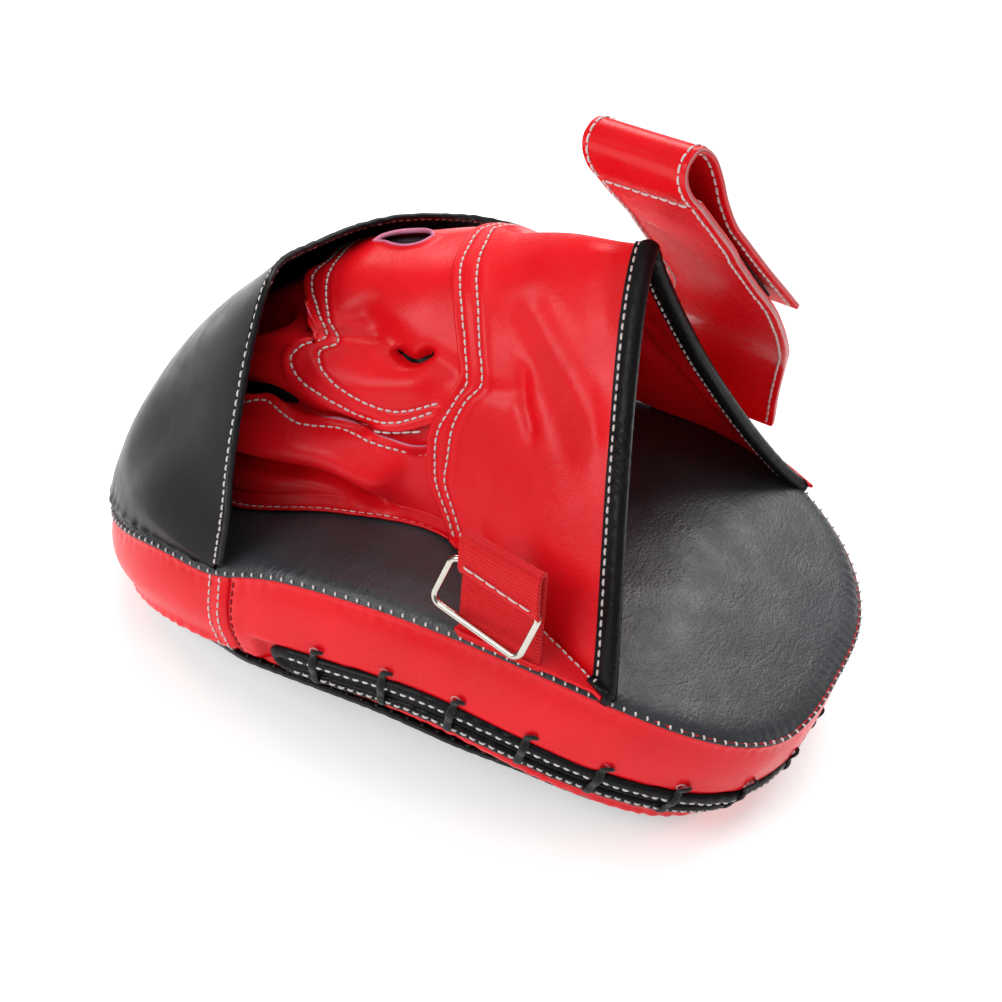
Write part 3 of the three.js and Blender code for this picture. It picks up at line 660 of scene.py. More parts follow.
def edge_stitches():
    around = even_angles(0, 2 * math.pi, 0.5)
    out, up = edge_directions(around)
    stitches("top_seam_thread", seam_line(around, -0.8, -0.25), unit(out * 0.6 + up), pitch=WHIP_PITCH,
             length=1.1, radius=0.38, cross=unit(out - 0.6 * up), slant=0.4)
    tuck = tucked(outline(around)[0] / HALF)
    under = wall_point(around, np.full(len(around), 1.9), 1.0 - 0.7 * tuck)
    stitches("bottom_seam_thread", under, unit(out - 0.5 * up), pitch=UNDER_PITCH,
             length=2.6, radius=0.42, cross=unit(out + up), slant=0.7, material=BLACK_THREAD)
    normal = normals(front_wall, WALL_INSIDE)
    run = lengths(front_angles)
    for side, edge in (("near", len(front_angles) - 1), ("far", 0)):
        for k, inset in enumerate((3.2, 6.6)):
            i = int(np.argmin(np.abs(run - abs(run[edge] - inset))))
            stitches(f"front_{side}_thread_{k + 1}", front_wall[i, 2:-2], normal[i, 2:-2], pitch=2.9,
                     length=2.1)
    normal = normals(main_wall, WALL_INSIDE)
    for side, i in (("near", 2), ("far", len(main_angles) - 3)):
        stitches(f"main_{side}_thread", main_wall[i, 2:-2], normal[i, 2:-2], pitch=2.9, length=2.0,
                 material=RED_THREAD)


edge_stitches()


# ---- vent band ----
def vent_point(angle, rise, out):
    """A point over the wall: rise above the vent band's middle, out from the wall."""
    s, _ = outline(angle)
    h = vent_height(s) + rise
    return wall_point(angle, h, wall_out(s, h) + out)


def vent_up(angle, rise, out):
    """Directions on the wall at a place of the vent band: along it, up it and out of it."""
    along = unit(vent_point(angle + 0.01, rise, out) - vent_point(angle - 0.01, rise, out))
    climb = unit(vent_point(angle, rise + 0.5, out) - vent_point(angle, rise - 0.5, out))
    n = unit(np.cross(along, climb))
    flip = (n * (vent_point(angle, rise, out + 1) - vent_point(angle, rise, out))).sum(-1) < 0
    n[flip] *= -1
    return along, climb, n


def vent_band():
    """Two stitched lips, two thinner rolls between them and the strip behind."""
    angles = even_angles(VENT_NEAR - 0.012, VENT_FAR + 0.012, 0.8)
    run = lengths(angles)
    to_end = np.minimum(run, run[-1] - run)
    closing = np.sqrt(np.clip(1 - (1 - np.clip(to_end / 6.5, 0, 1)) ** 2, 0.0, 1))
    trim = {"material": BLACK_TRIM, "slot": "black_trim"}
    for part, side in (("upper", 1), ("lower", -1)):
        rise = side * (0.3 + 3.75 * closing) + 0.12 * ripple(run, 9.0, side)
        out = 0.15 - 1.2 * (1 - closing) + 0.1 * ripple(run, 7.0, side + 2)
        n = vent_up(angles, rise, out)[2]
        tube(f"vent_lip_{part}_roll", vent_point(angles, rise, out), n, 2.35, 1.9, sides=14,
             size=1 + 0.06 * ripple(run, 5.3, side), stands_for=[f"vent_lip_{part}"], **trim)
        row = to_end > 5
        shown = vent_point(angles[row], rise[row] - side * 0.5, out[row] + 1.75)
        stitches(f"vent_lip_{part}_thread", shown, n[row], pitch=3.4, length=2.2, radius=0.4)
    for k, (rise, radius) in enumerate(((1.15, 1.1), (-1.15, 1.05))):
        rise = rise * closing + 0.15 * ripple(run, 13.0, k)
        path, n = vent_point(angles, rise, -0.55), vent_up(angles, rise, -0.55)[2]
        tube(f"vent_roll_{k + 1}", path, n, radius, radius, sides=10, **trim)
    section = np.array([[-1, -0.5], [1, -0.5], [1, 0.5], [-1, 0.5]])
    width = np.stack([4.9 * np.maximum(closing, 0.05), np.full(len(angles), 0.9)], -1)
    strip = sweep(vent_point(angles, 0, -2.0), vent_up(angles, 0, -2.0)[2],
                  section[None] * width[:, None])
    mesh("vent_liner_strip", *strip, [BLACK_TRIM], "pad", stands_for=["vent_liner"], slot="black_trim")


vent_band()


TIES = 17


def lace_ties():
    spread = even_angles(VENT_NEAR + 0.1, VENT_FAR - 0.1, 1.0)
    run = lengths(spread)
    for k, angle in enumerate(np.interp(np.linspace(0, run[-1], TIES), run, spread)):
        name, lean = f"lace_tie_{k + 1:02d}", RNG.uniform(-0.5, 0.5)
        #      along, rise, out
        route = [(2.8, 9.3, 0.35), (2.2, 10.0, 1.1), (0.9, 10.0, 1.6), (0.1, 9.2, 1.4), (-0.1, 7.9, 1.0),
                 (0, 6.5, 1.4), (lean * 0.5, 5.0, 2.4), (lean * 0.7, 3.5, 2.8), (lean, 0.3, 2.3),
                 (lean, -3.4, 2.8), (lean * 1.2, -5.1, 2.3), (lean * 1.3, -6.4, 1.2),
                 (lean * 1.3, -7.1, 0.1)]
        fine = even(route, 0.35)
        here = np.array([angle])
        step = wall_point(np.array([angle + 0.01]), 20, 0) - wall_point(here, 20, 0)
        at = angle + fine[:, 0] / (np.linalg.norm(step) / 0.01)
        width = np.interp(np.linspace(0, 1, len(fine)), [0, 0.06, 0.3, 1], [0.55, 0.95, 1.35, 1.3])
        width = width * (1 + 0.08 * np.sin(np.arange(len(fine)) * 0.9 + k))
        tube(f"{name}_cord", vent_point(at, fine[:, 1], fine[:, 2]),
             vent_up(at, fine[:, 1], fine[:, 2])[2],
             1, 1, CORD_BLACK, sides=10, size=np.stack([width, 0.52 + 0 * width], -1),
             stands_for=[name], slot="lace_cord")
        hole = vent_point(here, 9.1, 0.12)[0]
        along, climb, up = (v[0] for v in vent_up(here, np.array([9.1]), 0.1))
        turn = np.linspace(0, 2 * math.pi, 18, endpoint=False)
        rim = hole + 1.55 * np.cos(turn)[:, None] * along + 1.35 * np.sin(turn)[:, None] * climb
        tube(f"eyelet_{k + 1:02d}", rim, up, 0.28, 0.2, PLY_EDGE, sides=8, closed=True)


lace_ties()


# ---- finger hood ----
HOOD_INSIDE = np.array([-70.0, 0, 70])
HOOD_HEM = 0.985  # where the rolled hem runs, as b


def hood_surface(a, b, lift=0.0):
    """The hood with its dents and the puckers over its seam; a and b are 1-D or grids."""
    points = hood(a, b)
    n = unit(np.cross(hood(a + 1e-3, b) - hood(a - 1e-3, b), hood(a, b + 1e-3) - hood(a, b - 1e-3)))
    n = np.where(((points - HOOD_INSIDE) * n).sum(-1, keepdims=True) < 0, -n, n)
    seam = hill(b, 0, 0.09)
    form = -1.1 * hill(b, 0, 0.02) + 0.5 * hill(b, 0.045, 0.03)
    form = form + 0.55 * seam * ripple(a * 300, 9.0, 0.7)
    form = form + 0.9 * soft_noise(points, 55, 21) * smooth(b, 0.02, 0.3)
    for height, at_a, at_b in ((1.3, 0.30, 0.35), (-1.0, 0.21, 0.45)):
        form = form + height * np.exp(-(((a - at_a) / 0.05) ** 2 + ((b - at_b) / 0.3) ** 2))
    return points + n * (form + lift)[..., None], n


def finger_hood():
    a, b = grid(np.linspace(0.004, 0.996, 220), np.linspace(0.005, HOOD_HEM, 74))
    obj = panel("finger_hood_leather", hood_surface(a, b)[0], BLACK_SATIN, 1.5, HOOD_INSIDE,
                stands_for=["finger_hood"], slot="black_leather")
    a = np.linspace(0.004, 0.996, 500)
    path, n = hood_surface(a, np.full(500, HOOD_HEM), -0.7)
    path = path + 0.15 * ripple(a * 300, 8.0, 1.2)[:, None] * n
    tube("hood_hem_roll", path, n, 1.15, 1.05, BLACK_TRIM, stands_for=["hood_hem"], slot="black_trim")
    reach = np.linalg.norm(hood(a, 1.0 + 0 * a) - hood(a, 0.9 + 0 * a), axis=-1) / 0.1
    inset = 1 - 3.4 / np.maximum(reach, 1)
    path, n = hood_surface(a, inset)
    stitches("hood_thread", path, n, pitch=3.1, length=2.2, radius=0.38)
    path, n = hood_surface(a, inset, -1.5)
    stitches("hood_thread_inside", path, -n, pitch=3.1, length=2.0, radius=0.34, material=PINK_THREAD)


finger_hood()

# ---- glove ----
GLOVE_INSIDE = np.array([0.0, 0, 95])
GLOVE_MM = np.array([165.0, 270.0])  # size of one unit of p and of t on the surface

# Folds and swellings of the glove: a line of (p, t) points, its half width and its height.
FORMS = [
    ([(0.463, 0.259), (0.482, 0.248), (0.500, 0.245), (0.522, 0.257)], 2.0, -5.0),
    ([(0.37, 0.325), (0.43, 0.285), (0.48, 0.252)], 6.0, -3.0),
    ([(0.525, 0.256), (0.58, 0.24)], 4.0, -1.2),
    ([(0.34, 0.222), (0.42, 0.205), (0.50, 0.208)], 8.0, 2.8),
    ([(0.30, 0.42), (0.42, 0.40), (0.50, 0.37)], 18.0, 1.8),
    ([(0.30, 0.290), (0.40, 0.287)], 3.5, -1.6),
    ([(0.02, 0.275), (0.25, 0.268)], 11.0, 5.5),
    ([(0.02, 0.420), (0.18, 0.410)], 9.0, 3.5),
    ([(0.02, 0.350), (0.15, 0.344)], 5.5, -5.5),
    ([(0.02, 0.222), (0.15, 0.211), (0.23, 0.190), (0.33, 0.150), (0.42, 0.137)], 3.8, -5.5),
    ([(0.05, 0.135), (0.24, 0.116), (0.38, 0.092), (0.46, 0.070)], 9.0, 7.0),
    ([(0.02, 0.088), (0.163, 0.082), (0.288, 0.067), (0.398, 0.047), (0.478, 0.012)], 3.2, -7.5),
    ([(0.45, 0.105), (0.50, 0.075)], 7.0, -1.6),
    ([(0.620, 0.226), (0.68, 0.236), (0.735, 0.252)], 3.0, -0.9),
    ([(0.74, 0.345), (0.80, 0.312), (0.86, 0.285), (0.91, 0.262)], 7.0, -2.2),
    ([(0.735, 0.266), (0.745, 0.246), (0.768, 0.226)], 3.4, -1.8),
    ([(0.79, 0.252), (0.83, 0.225)], 9.0, 1.6),
    ([(0.68, 0.36), (0.70, 0.30)], 12.0, 1.0),
    ([(0.90, 0.44), (0.93, 0.36)], 6.0, 1.2),
    ([(0.63, 0.09), (0.66, 0.03)], 7.0, 0.8),
    ([(0.30, 0.62), (0.50, 0.68)], 9.0, -2.2),
    ([(0.18, 0.72), (0.45, 0.78)], 9.0, 2.2),
    ([(0.25, 0.88), (0.52, 0.86)], 7.0, -2.4),
    ([(0.70, 0.62), (0.80, 0.72), (0.90, 0.80)], 7.0, -2.6),
    ([(0.66, 0.80), (0.78, 0.88)], 7.0, 2.0),
]


def fine_line(line, step, size=GLOVE_MM):
    """A line of (p, t) points at even steps of so many millimetres on the glove."""
    return even(np.asarray(line) * size, step) / size


def to_line(p, t, line):
    """Distance in millimetres on the glove from (p, t) to a line of such points."""
    line = even(np.asarray(line) * GLOVE_MM, 1.5)
    q = np.stack(np.broadcast_arrays(p, t), -1) * GLOVE_MM
    best = np.full(q.shape[:-1], np.inf)
    for a, b in zip(line[:-1], line[1:]):
        k = np.clip(((q - a) @ (b - a)) / ((b - a) @ (b - a)), 0, 1)
        best = np.minimum(best, np.linalg.norm(q - a - k[..., None] * (b - a), axis=-1))
    return best


def glove_normal(p, t):
    n = unit(np.cross(glove(p + 1e-3, t) - glove(p - 1e-3, t), glove(p, t + 1e-3) - glove(p, t - 1e-3)))
    return np.where(((glove(p, t) - GLOVE_INSIDE) * n).sum(-1, keepdims=True) < 0, -n, n)


def glove_form(p, t):
    """Height of the folds and swellings over the plain glove."""
    total = 0.6 * soft_noise(glove(p, t), 42, 33) * smooth(t, 0.0, 0.08)
    for line, width, height in FORMS:
        total = total + height * hill(to_line(p, t, line), 0, width)
    total = total * smooth(t, -0.002, 0.03) * smooth(1 - t, -0.002, 0.03)
    return total * (1 - 0.8 * smooth(p, 0.90, 0.98))


def skin(p, t, lift=0.0):
    """A point on the glove's leather and the normal there. Below its foot (t < 0 or t > 1) the
    leather turns out and lies on the back."""
    p, t = np.broadcast_arrays(np.asarray(p, float), np.asarray(t, float))
    inner = np.clip(t, 0, 1)
    n = glove_normal(p, np.clip(inner, 0.004, 0.996))
    points = glove(p, inner) + n * (glove_form(p, inner) + lift)[..., None]
    past = np.maximum(-t, t - 1)[..., None] * GLOVE_MM[1]
    level = n * [1, 1, 0]
    flange = glove(p, inner) + unit(level) * (past + 0.6)
    flange[..., 2] = on_back(flange[..., 0], flange[..., 1], 1.2)[..., 2] + lift
    turned = smooth(past, 0, 1.6)
    up = np.array([0.0, 0, 1])
    return points * (1 - turned) + flange * turned, unit(n * (1 - turned) + up * turned)


def skin_line(line, step, lift):
    """A line of (p, t) points laid on the glove's leather, and the normals there."""
    line = fine_line(line, step)
    return skin(line[:, 0], line[:, 1], lift)


def glove_panel(node, points, thick, **more):
    panel(f"{node}_leather", points, RED_LEATHER, thick, GLOVE_INSIDE, stands_for=[node],
          slot="red_leather", **more)


def glove_sleeve():
    points, _ = skin(*grid(np.linspace(0.0, 0.62, 96), np.linspace(0.0, 1.0, 220)), -0.9)
    glove_panel("finger_sleeve", points, 1.0)


def line_at(line, p):
    """t at p on a line of (p, t) points."""
    fine = fine_line(line, 0.5)
    order = np.argsort(fine[:, 0])
    return np.interp(p, fine[order, 0], fine[order, 1])


THUMB_EDGE = [
    (0.05, 0.170), (0.13, 0.184), (0.18, 0.194), (0.205, 0.196), (0.297, 0.157), (0.39, 0.144),
    (0.458, 0.129), (0.537, 0.125), (0.58, 0.14), (0.64, 0.17),
]
THUMB_FOOT = [(0.04, 0.030), (0.30, 0.022), (0.64, 0.0)]
FINGER_GAP = [(0.02, 0.212), (0.10, 0.212), (0.16, 0.210), (0.21, 0.202), (0.27, 0.178)]


def painted_shade_strip(name, line, lift, half):
    """A black strip laid in a gap or crease as painted shade, pointed at both ends."""
    path, n = skin_line(line, 0.4, lift)
    size = np.sin(np.linspace(0.05, math.pi - 0.05, len(path))) ** 0.8 * half
    tube(name, path, n, 1, 0.5, BLACK_SATIN, sides=10, size=size)


def thumb_panel():
    p = np.linspace(0.05, 0.62, 130)[:, None]
    share = np.linspace(0, 1, 60)[None]
    top, low = line_at(THUMB_EDGE, p), line_at(THUMB_FOOT, p)
    t = low + (top - low) * share
    p = p + 0 * t
    to_edge = (top - t) * GLOVE_MM[1]
    flare = 3.0 * hill(to_edge, 0, 3.2) * (1 - smooth(p, 0.50, 0.58))
    flare = flare * (0.75 + 0.35 * np.sin(p * 38))
    points, _ = skin(p, t, 0.35 + flare + 0.12 * ripple(p * 165, 7.0, 2.0) * hill(to_edge, 3, 3))
    glove_panel("thumb_panel", points, 1.4, rim=CUT_EDGE)
    # A black strip in the gap between the finger roll and the thumb panel: painted shade.
    painted_shade_strip("finger_gap_painted_shade", FINGER_GAP, 0.2, 4.0)
    p = np.linspace(0.07, 0.56, 400)
    t = line_at(THUMB_EDGE, p) - 3.6 / GLOVE_MM[1]
    path, n = skin(p, t, 0.35 + 0.7 * (1 - smooth(p, 0.46, 0.56)))
    stitches("thumb_thread", path, n, pitch=2.7, length=1.9)


# The knuckle panel's edge, as (p, t): down its finger side, round the notch and the lobe, and along
# its underside; its two rows of stitches; the two edges of its slit; the crease beside the lobe.
KNUCKLE_SIDE = [
    (0.27, 0.82), (0.215, 0.74), (0.19, 0.66), (0.178, 0.57), (0.197, 0.45), (0.208, 0.385),
    (0.250, 0.334), (0.292, 0.288), (0.258, 0.272), (0.240, 0.250),
]
KNUCKLE_LOW = [
    (0.240, 0.250), (0.255, 0.213), (0.315, 0.179), (0.380, 0.156), (0.440, 0.140), (0.490, 0.139),
    (0.56, 0.163), (0.61, 0.185),
]
OUTER_ROW = [
    (0.235, 0.74), (0.21, 0.66), (0.196, 0.57), (0.217, 0.447), (0.225, 0.387), (0.268, 0.335),
    (0.309, 0.282), (0.278, 0.266), (0.260, 0.248), (0.275, 0.220), (0.330, 0.189), (0.383, 0.167),
    (0.435, 0.152), (0.480, 0.151), (0.552, 0.176),
]
INNER_ROW = [
    (0.262, 0.74), (0.236, 0.66), (0.222, 0.57), (0.245, 0.453), (0.263, 0.382), (0.302, 0.316),
    (0.338, 0.272), (0.313, 0.260), (0.316, 0.242), (0.352, 0.209), (0.403, 0.185), (0.455, 0.170),
    (0.492, 0.169), (0.560, 0.190),
]
SLIT = ([(0.314, 0.487), (0.322, 0.515), (0.350, 0.540), (0.400, 0.538), (0.440, 0.518), (0.468, 0.493)],
        [(0.314, 0.487), (0.345, 0.482), (0.380, 0.470), (0.413, 0.464), (0.445, 0.470), (0.468, 0.493)])
CREASE = [
    (0.455, 0.2655), (0.470, 0.2545), (0.485, 0.2475), (0.502, 0.2460), (0.516, 0.2515),
    (0.530, 0.2625),
]
UNDER_ROW = [(0.440, 0.1335), (0.49, 0.137), (0.545, 0.148)]


def coons(left, right, low, top, n, m):
    """A patch of (p, t) between four lines: left and right run upwards, low and top rightwards."""
    u, v = np.linspace(0, 1, n)[:, None, None], np.linspace(0, 1, m)[None, :, None]
    le, ri = (even_shares(fine_line(line, 0.4), m)[None] for line in (left, right))
    lo, to = (even_shares(fine_line(line, 0.4), n)[:, None] for line in (low, top))
    flat = (1 - u) * le + u * ri + (1 - v) * lo + v * to
    corners = (1 - u) * (1 - v) * lo[:1] + u * (1 - v) * lo[-1:] + (1 - u) * v * to[:1] + u * v * to[-1:]
    return flat - corners


def in_slit(q):
    """Whether (p, t) lies in the knuckle panel's slit, short of its two corners."""
    upper, lower = line_at(SLIT[0], q[..., 0]), line_at(SLIT[1], q[..., 0])
    return (q[..., 0] > 0.315) & (q[..., 0] < 0.467) & (q[..., 1] < upper) & (q[..., 1] > lower)


def knuckle_panel():
    right = [(0.61, 0.185), (0.62, 0.3), (0.61, 0.5), (0.61, 0.7), (0.61, 0.82)]
    top = [(0.27, 0.82), (0.44, 0.82), (0.61, 0.82)]
    q = coons(KNUCKLE_SIDE[::-1], right, KNUCKLE_LOW, top, 110, 260)
    p, t = q[..., 0], q[..., 1]
    near_slit, near_row = (np.minimum(*(to_line(p, t, line) for line in pair))
                           for pair in (SLIT, (OUTER_ROW, INNER_ROW)))
    lip = 0.9 * hill(near_slit, 0, 2.2)
    groove = -0.35 * hill(near_row, 0, 0.7) + 0.18 * hill(near_row, 2, 1.0)
    points, _ = skin(p, t, 1.7 + lip + groove)
    flat = q.reshape(-1, 2)
    glove_panel("knuckle_panel", points, 1.2, rim=CUT_EDGE,
                drop=lambda faces: in_slit(flat[faces].mean(1)))
    for k, row in enumerate((OUTER_ROW, INNER_ROW)):
        stitches(f"knuckle_thread_{k + 1}", *skin_line(row, 0.5, 1.45), pitch=2.7, length=1.95)
    for k, edge in enumerate(SLIT):
        tube(f"knuckle_slit_edge_{k + 1}", *skin_line(edge, 0.4, 2.1), 0.7, 0.9, CUT_EDGE, sides=8)
    # A black sheet under the slit, over the red sleeve that shows through it: painted shade for the dark
    # inside.
    p, share = grid(np.linspace(0.306, 0.476, 30), np.linspace(0, 1, 10))
    low, top = line_at(SLIT[1], p) - 0.008, line_at(SLIT[0], p) + 0.008
    points, _ = skin(p, low + (top - low) * share, 0.1)
    panel("knuckle_slit_painted_shade", points, BLACK_SATIN, 0.4, GLOVE_INSIDE)
    stitches("under_knuckle_thread", *skin_line(UNDER_ROW, 0.5, 1.0), pitch=3.4, length=3.0, radius=0.34)
    # A black strip in the crease beside the lobe: painted shade in the pinch.
    painted_shade_strip("knuckle_crease_painted_shade", CREASE, 1.5, 2.3)


# The cuff panel's front edge and its two rows of stitches, as (t, p) from the near foot to the far.
LEFT_ROW = [
    (-0.018, 0.65), (0.01, 0.640), (0.036, 0.619), (0.081, 0.577), (0.121, 0.568), (0.157, 0.569),
    (0.198, 0.595), (0.230, 0.614), (0.265, 0.606), (0.322, 0.587), (0.404, 0.568), (0.458, 0.574),
    (0.53, 0.588), (0.64, 0.582), (0.75, 0.561), (0.90, 0.595), (1.018, 0.62),
]
RIGHT_ROW = [
    (-0.018, 0.68), (0.01, 0.668), (0.036, 0.648), (0.087, 0.597), (0.128, 0.595), (0.166, 0.598),
    (0.204, 0.618), (0.238, 0.647), (0.275, 0.637), (0.313, 0.626), (0.403, 0.604), (0.461, 0.610),
    (0.55, 0.617), (0.64, 0.612), (0.75, 0.591), (0.90, 0.625), (1.018, 0.65),
]


def row_at(row, t):
    """p along a row of (t, p) points."""
    fine = fine_line(row, 0.5, GLOVE_MM[::-1])
    return np.interp(t, fine[:, 0], fine[:, 1])


def cuff_lift(p, t):
    """Height of the cuff panel over the glove: thicker over its front seam, dented by its stitches."""
    from_edge = (p - row_at(LEFT_ROW, t)) * GLOVE_MM[0]
    lift = 1.0 + 1.9 * (1 - smooth(from_edge, 4, 17))
    rows = np.minimum(np.abs(from_edge), np.abs((p - row_at(RIGHT_ROW, t)) * GLOVE_MM[0]))
    return lift - 0.4 * hill(rows, 0, 0.75) + 0.3 * hill(rows, 2.4, 1.2)


OPENING = 0.985  # p of the wrist opening's edge


def rim_reach(p):
    """How far, in t, the leather turned out at the near foot runs to the pad's back seam."""
    foot = glove(p, 0.0)
    level = unit(glove_normal(p, np.full(len(p), 0.004)) * [1, 1, 0])
    past = np.linspace(0, 26, 105)[:, None]
    reached = foot[None, :, :2] + level[None, :, :2] * past[..., None]
    share = share_of(along_back(reached[..., 0], reached[..., 1]), reached[..., 1])
    return past[np.argmax(share > 0.998, 0), 0] / GLOVE_MM[1]


def cuff_panel():
    t = np.r_[np.linspace(-1, 0, 24)[:-1], np.linspace(0, 1.017, 300)]
    start = row_at(LEFT_ROW, np.maximum(t, -0.017)) - 2.9 / GLOVE_MM[0]
    share = np.linspace(0, 1, 120)[:, None]
    p = start[None] + (OPENING - start)[None] * share
    fine = np.linspace(0.6, 1, 81)
    reach = 0.017 + (np.maximum(rim_reach(fine), 0.017) - 0.017) * smooth(fine, 0.73, 0.79)
    t = np.where(t[None] < 0, t[None] * np.interp(p, fine, reach), t[None])
    points, _ = skin(p, t, cuff_lift(p, t))
    glove_panel("cuff_panel", points, 1.3)
    t = np.linspace(-0.012, 1.012, 900)
    for k, row in enumerate((LEFT_ROW, RIGHT_ROW)):
        p = row_at(row, t)
        path, n = skin(p, t, cuff_lift(p, t) + 0.15)
        stitches(f"cuff_seam_thread_{k + 1}", path, n, pitch=2.7, length=1.95)
    p = np.linspace(0.66, 0.975, 400)
    for k, side in enumerate((-0.008, 1.008)):
        path, n = skin(p, np.full(400, side), 1.0)
        stitches(f"cuff_foot_thread_{k + 1}", path, n, pitch=2.9, length=2.1)


# The binding's section: how far inwards from the opening's edge, how high over the leather, and how
# much of a gather shows there.
BINDING = [
    (5.6, 1.05, 0.1), (5.3, 1.75, 0.2), (4.6, 1.95, 0.3), (3.8, 1.7, 0.3), (2.8, 2.4, 0.9),
    (1.2, 2.9, 1), (-0.5, 2.95, 1), (-1.8, 2.3, 0.8), (-2.5, 1.1, 0.3), (-2.5, -0.5, -0.3),
    (-1.8, -1.6, -0.8), (-0.2, -2.1, -1), (1.8, -2.0, -1), (2.9, -1.8, -0.9), (3.8, -1.4, -0.3),
    (4.6, -1.7, -0.3), (5.3, -1.5, -0.2), (5.6, -1.0, -0.1), (4.8, -0.4, 0), (0.6, -0.5, 0),
    (0.2, 0.3, 0), (0.6, 1.0, 0), (4.8, 1.05, 0),
]


def cuff_binding():
    t = np.linspace(-0.014, 1.002, 430)
    origin, n = skin(OPENING, t)
    out = unit(origin - skin(OPENING - 0.015, t)[0])
    gather = hill(t, 0.24, 0.03) + 0.9 * hill(t, 0.54, 0.03) + 0.08
    pucker = 0.7 * gather * ripple(length_along(origin), 5.2, 0.4)

    def at(inwards, height, gathered=0):
        """A line beside the opening's edge, over the leather or under it."""
        over, n = skin(OPENING - max(inwards, 0) / GLOVE_MM[0], t, 0)
        return over + out * max(-inwards, 0) + n * (height + pucker * gathered)[..., None]

    rows = np.stack([at(*place) for place in BINDING], 1)
    mesh("cuff_binding_leather", rows.reshape(-1, 3), loft_faces(*rows.shape[:2]), [BLACK_TRIM], "pad",
         stands_for=["cuff_binding"], slot="black_trim")
    stitches("binding_thread", at(3.8, 1.75), n, pitch=3.2, length=2.2, radius=0.42)
    stitches("binding_thread_inside", at(3.8, -1.5), -n, pitch=3.2, length=2.2, radius=0.38)


def base_strips():
    p, share = grid(np.linspace(0.05, 0.62, 120), np.linspace(0, 1, 16))
    lift = 0.5 + 0.9 * hill(share, 0.45, 0.3) + 0.1 * ripple(p * 165, 6, 1)
    row = np.linspace(0.06, 0.60, 400)
    for name, turned in (("near", lambda t: t), ("far", lambda t: 1 - t)):
        glove_panel(f"base_strip_{name}", skin(p, turned(-0.008 + 0.032 * share), lift)[0], 0.9)
        path, n = skin(row, turned(np.full(400, 0.0035)), 1.45)
        stitches(f"base_strip_{name}_thread", path, n, pitch=3.0, length=2.1)


glove_sleeve()
thumb_panel()
knuckle_panel()
cuff_panel()
cuff_binding()
base_strips()


# ---- ring and its webbing ----
WEB_FOOT = np.array([(29, -81, 72.5), (57.2, -79.5, 69.8)])
WEB_FOLD = np.array([(24.2, -73.1, 106), (53.7, -77.4, 104.4)])
BAR_ENDS = np.array([(23.57, -76.92, 96.36), (51.81, -80.60, 90.90)])
WEB_LENGTH = np.linalg.norm(WEB_FOLD.mean(0) - WEB_FOOT.mean(0))
WEB_OUT = unit(np.cross(WEB_FOOT[1] - WEB_FOOT[0], WEB_FOLD[0] - WEB_FOOT[0]))
WEB_OUT = -WEB_OUT if WEB_OUT[1] > 0 else WEB_OUT
LOOP_OUT, BAR_DROP = 5.8, (10.0, 13.6)
BAR_OUT = LOOP_OUT / 2


def web_point(k, out, up):
    """A point of the webbing: k from its left edge (0) to its right (1), out from its back layer and
    up from its foot."""
    foot = WEB_FOOT[0] + (WEB_FOOT[1] - WEB_FOOT[0]) * k[..., None]
    fold = WEB_FOLD[0] + (WEB_FOLD[1] - WEB_FOLD[0]) * k[..., None]
    return foot + (fold - foot) / WEB_LENGTH * up[..., None] + WEB_OUT * out[..., None]


def ring_webbing():
    """Ribbed tape from the seam over the ring's bar and back down, sewn under the bar."""
    top = WEB_LENGTH - BAR_OUT
    across = np.linspace(0, 1, 34)
    turn = np.linspace(0, math.pi, 9)[1:]
    columns = []
    for k in across:
        low = top + BAR_OUT - (BAR_DROP[0] + (BAR_DROP[1] - BAR_DROP[0]) * k) - 3.0
        line = [(0.3, -2.5), (0.0, 0), (0.1, WEB_LENGTH * 0.4), (0, top)]
        line += [(BAR_OUT * (1 - math.cos(a)), top + BAR_OUT * math.sin(a)) for a in turn]
        line += [(LOOP_OUT * 0.98, (top + low) / 2 + 1.0), (LOOP_OUT * 0.86, low + 2.0),
                 (2.3, low - 0.6)]
        columns.append(even_shares(even(line, 0.12), 420))
    flat = np.stack(columns)
    k = np.broadcast_to(across[:, None], flat.shape[:2])
    points = web_point(k, flat[..., 0], flat[..., 1])
    inside = web_point(np.array([0.5]), np.array([BAR_OUT]), np.array([top]))[0]
    run = np.linalg.norm(np.diff(flat, axis=1), axis=-1).cumsum(1)
    run = np.concatenate([np.zeros((len(flat), 1)), run], 1)
    rib = 0.17 * np.cos(run * 2 * math.pi / 1.35) + 0.05 * np.cos(k * 2 * math.pi * 26)
    selvage = 0.25 * hill(np.minimum(k, 1 - k) * 28, 0, 0.8)
    points = points + normals(points, inside) * (rib + selvage)[..., None]
    obj = panel("ring_webbing_tape", points, WEBBING, 1.2, inside, stands_for=["ring_webbing"],
                slot="red_webbing")
    obj.modifiers["leather"].offset = 0
    q = np.linspace(0, 1, 120)
    low = WEB_LENGTH - BAR_DROP[0] - (BAR_DROP[1] - BAR_DROP[0]) * q - 3.0
    path = web_point(0.03 + 0.94 * q, LOOP_OUT * 0.93 + 1.3 + 0 * q, low + 3.4)
    stitches("webbing_thread", path, WEB_OUT, pitch=4.2, length=3.8, radius=0.33)


RING_WIDE, RING_HIGH = 31.4, 15.2  # inside the wire
WIRE, RING_CORNER = 2.4, 3.2  # its thickness; its corner's radius, to its middle
RING_ASIDE = 1.2  # along its bar, towards the wrist opening


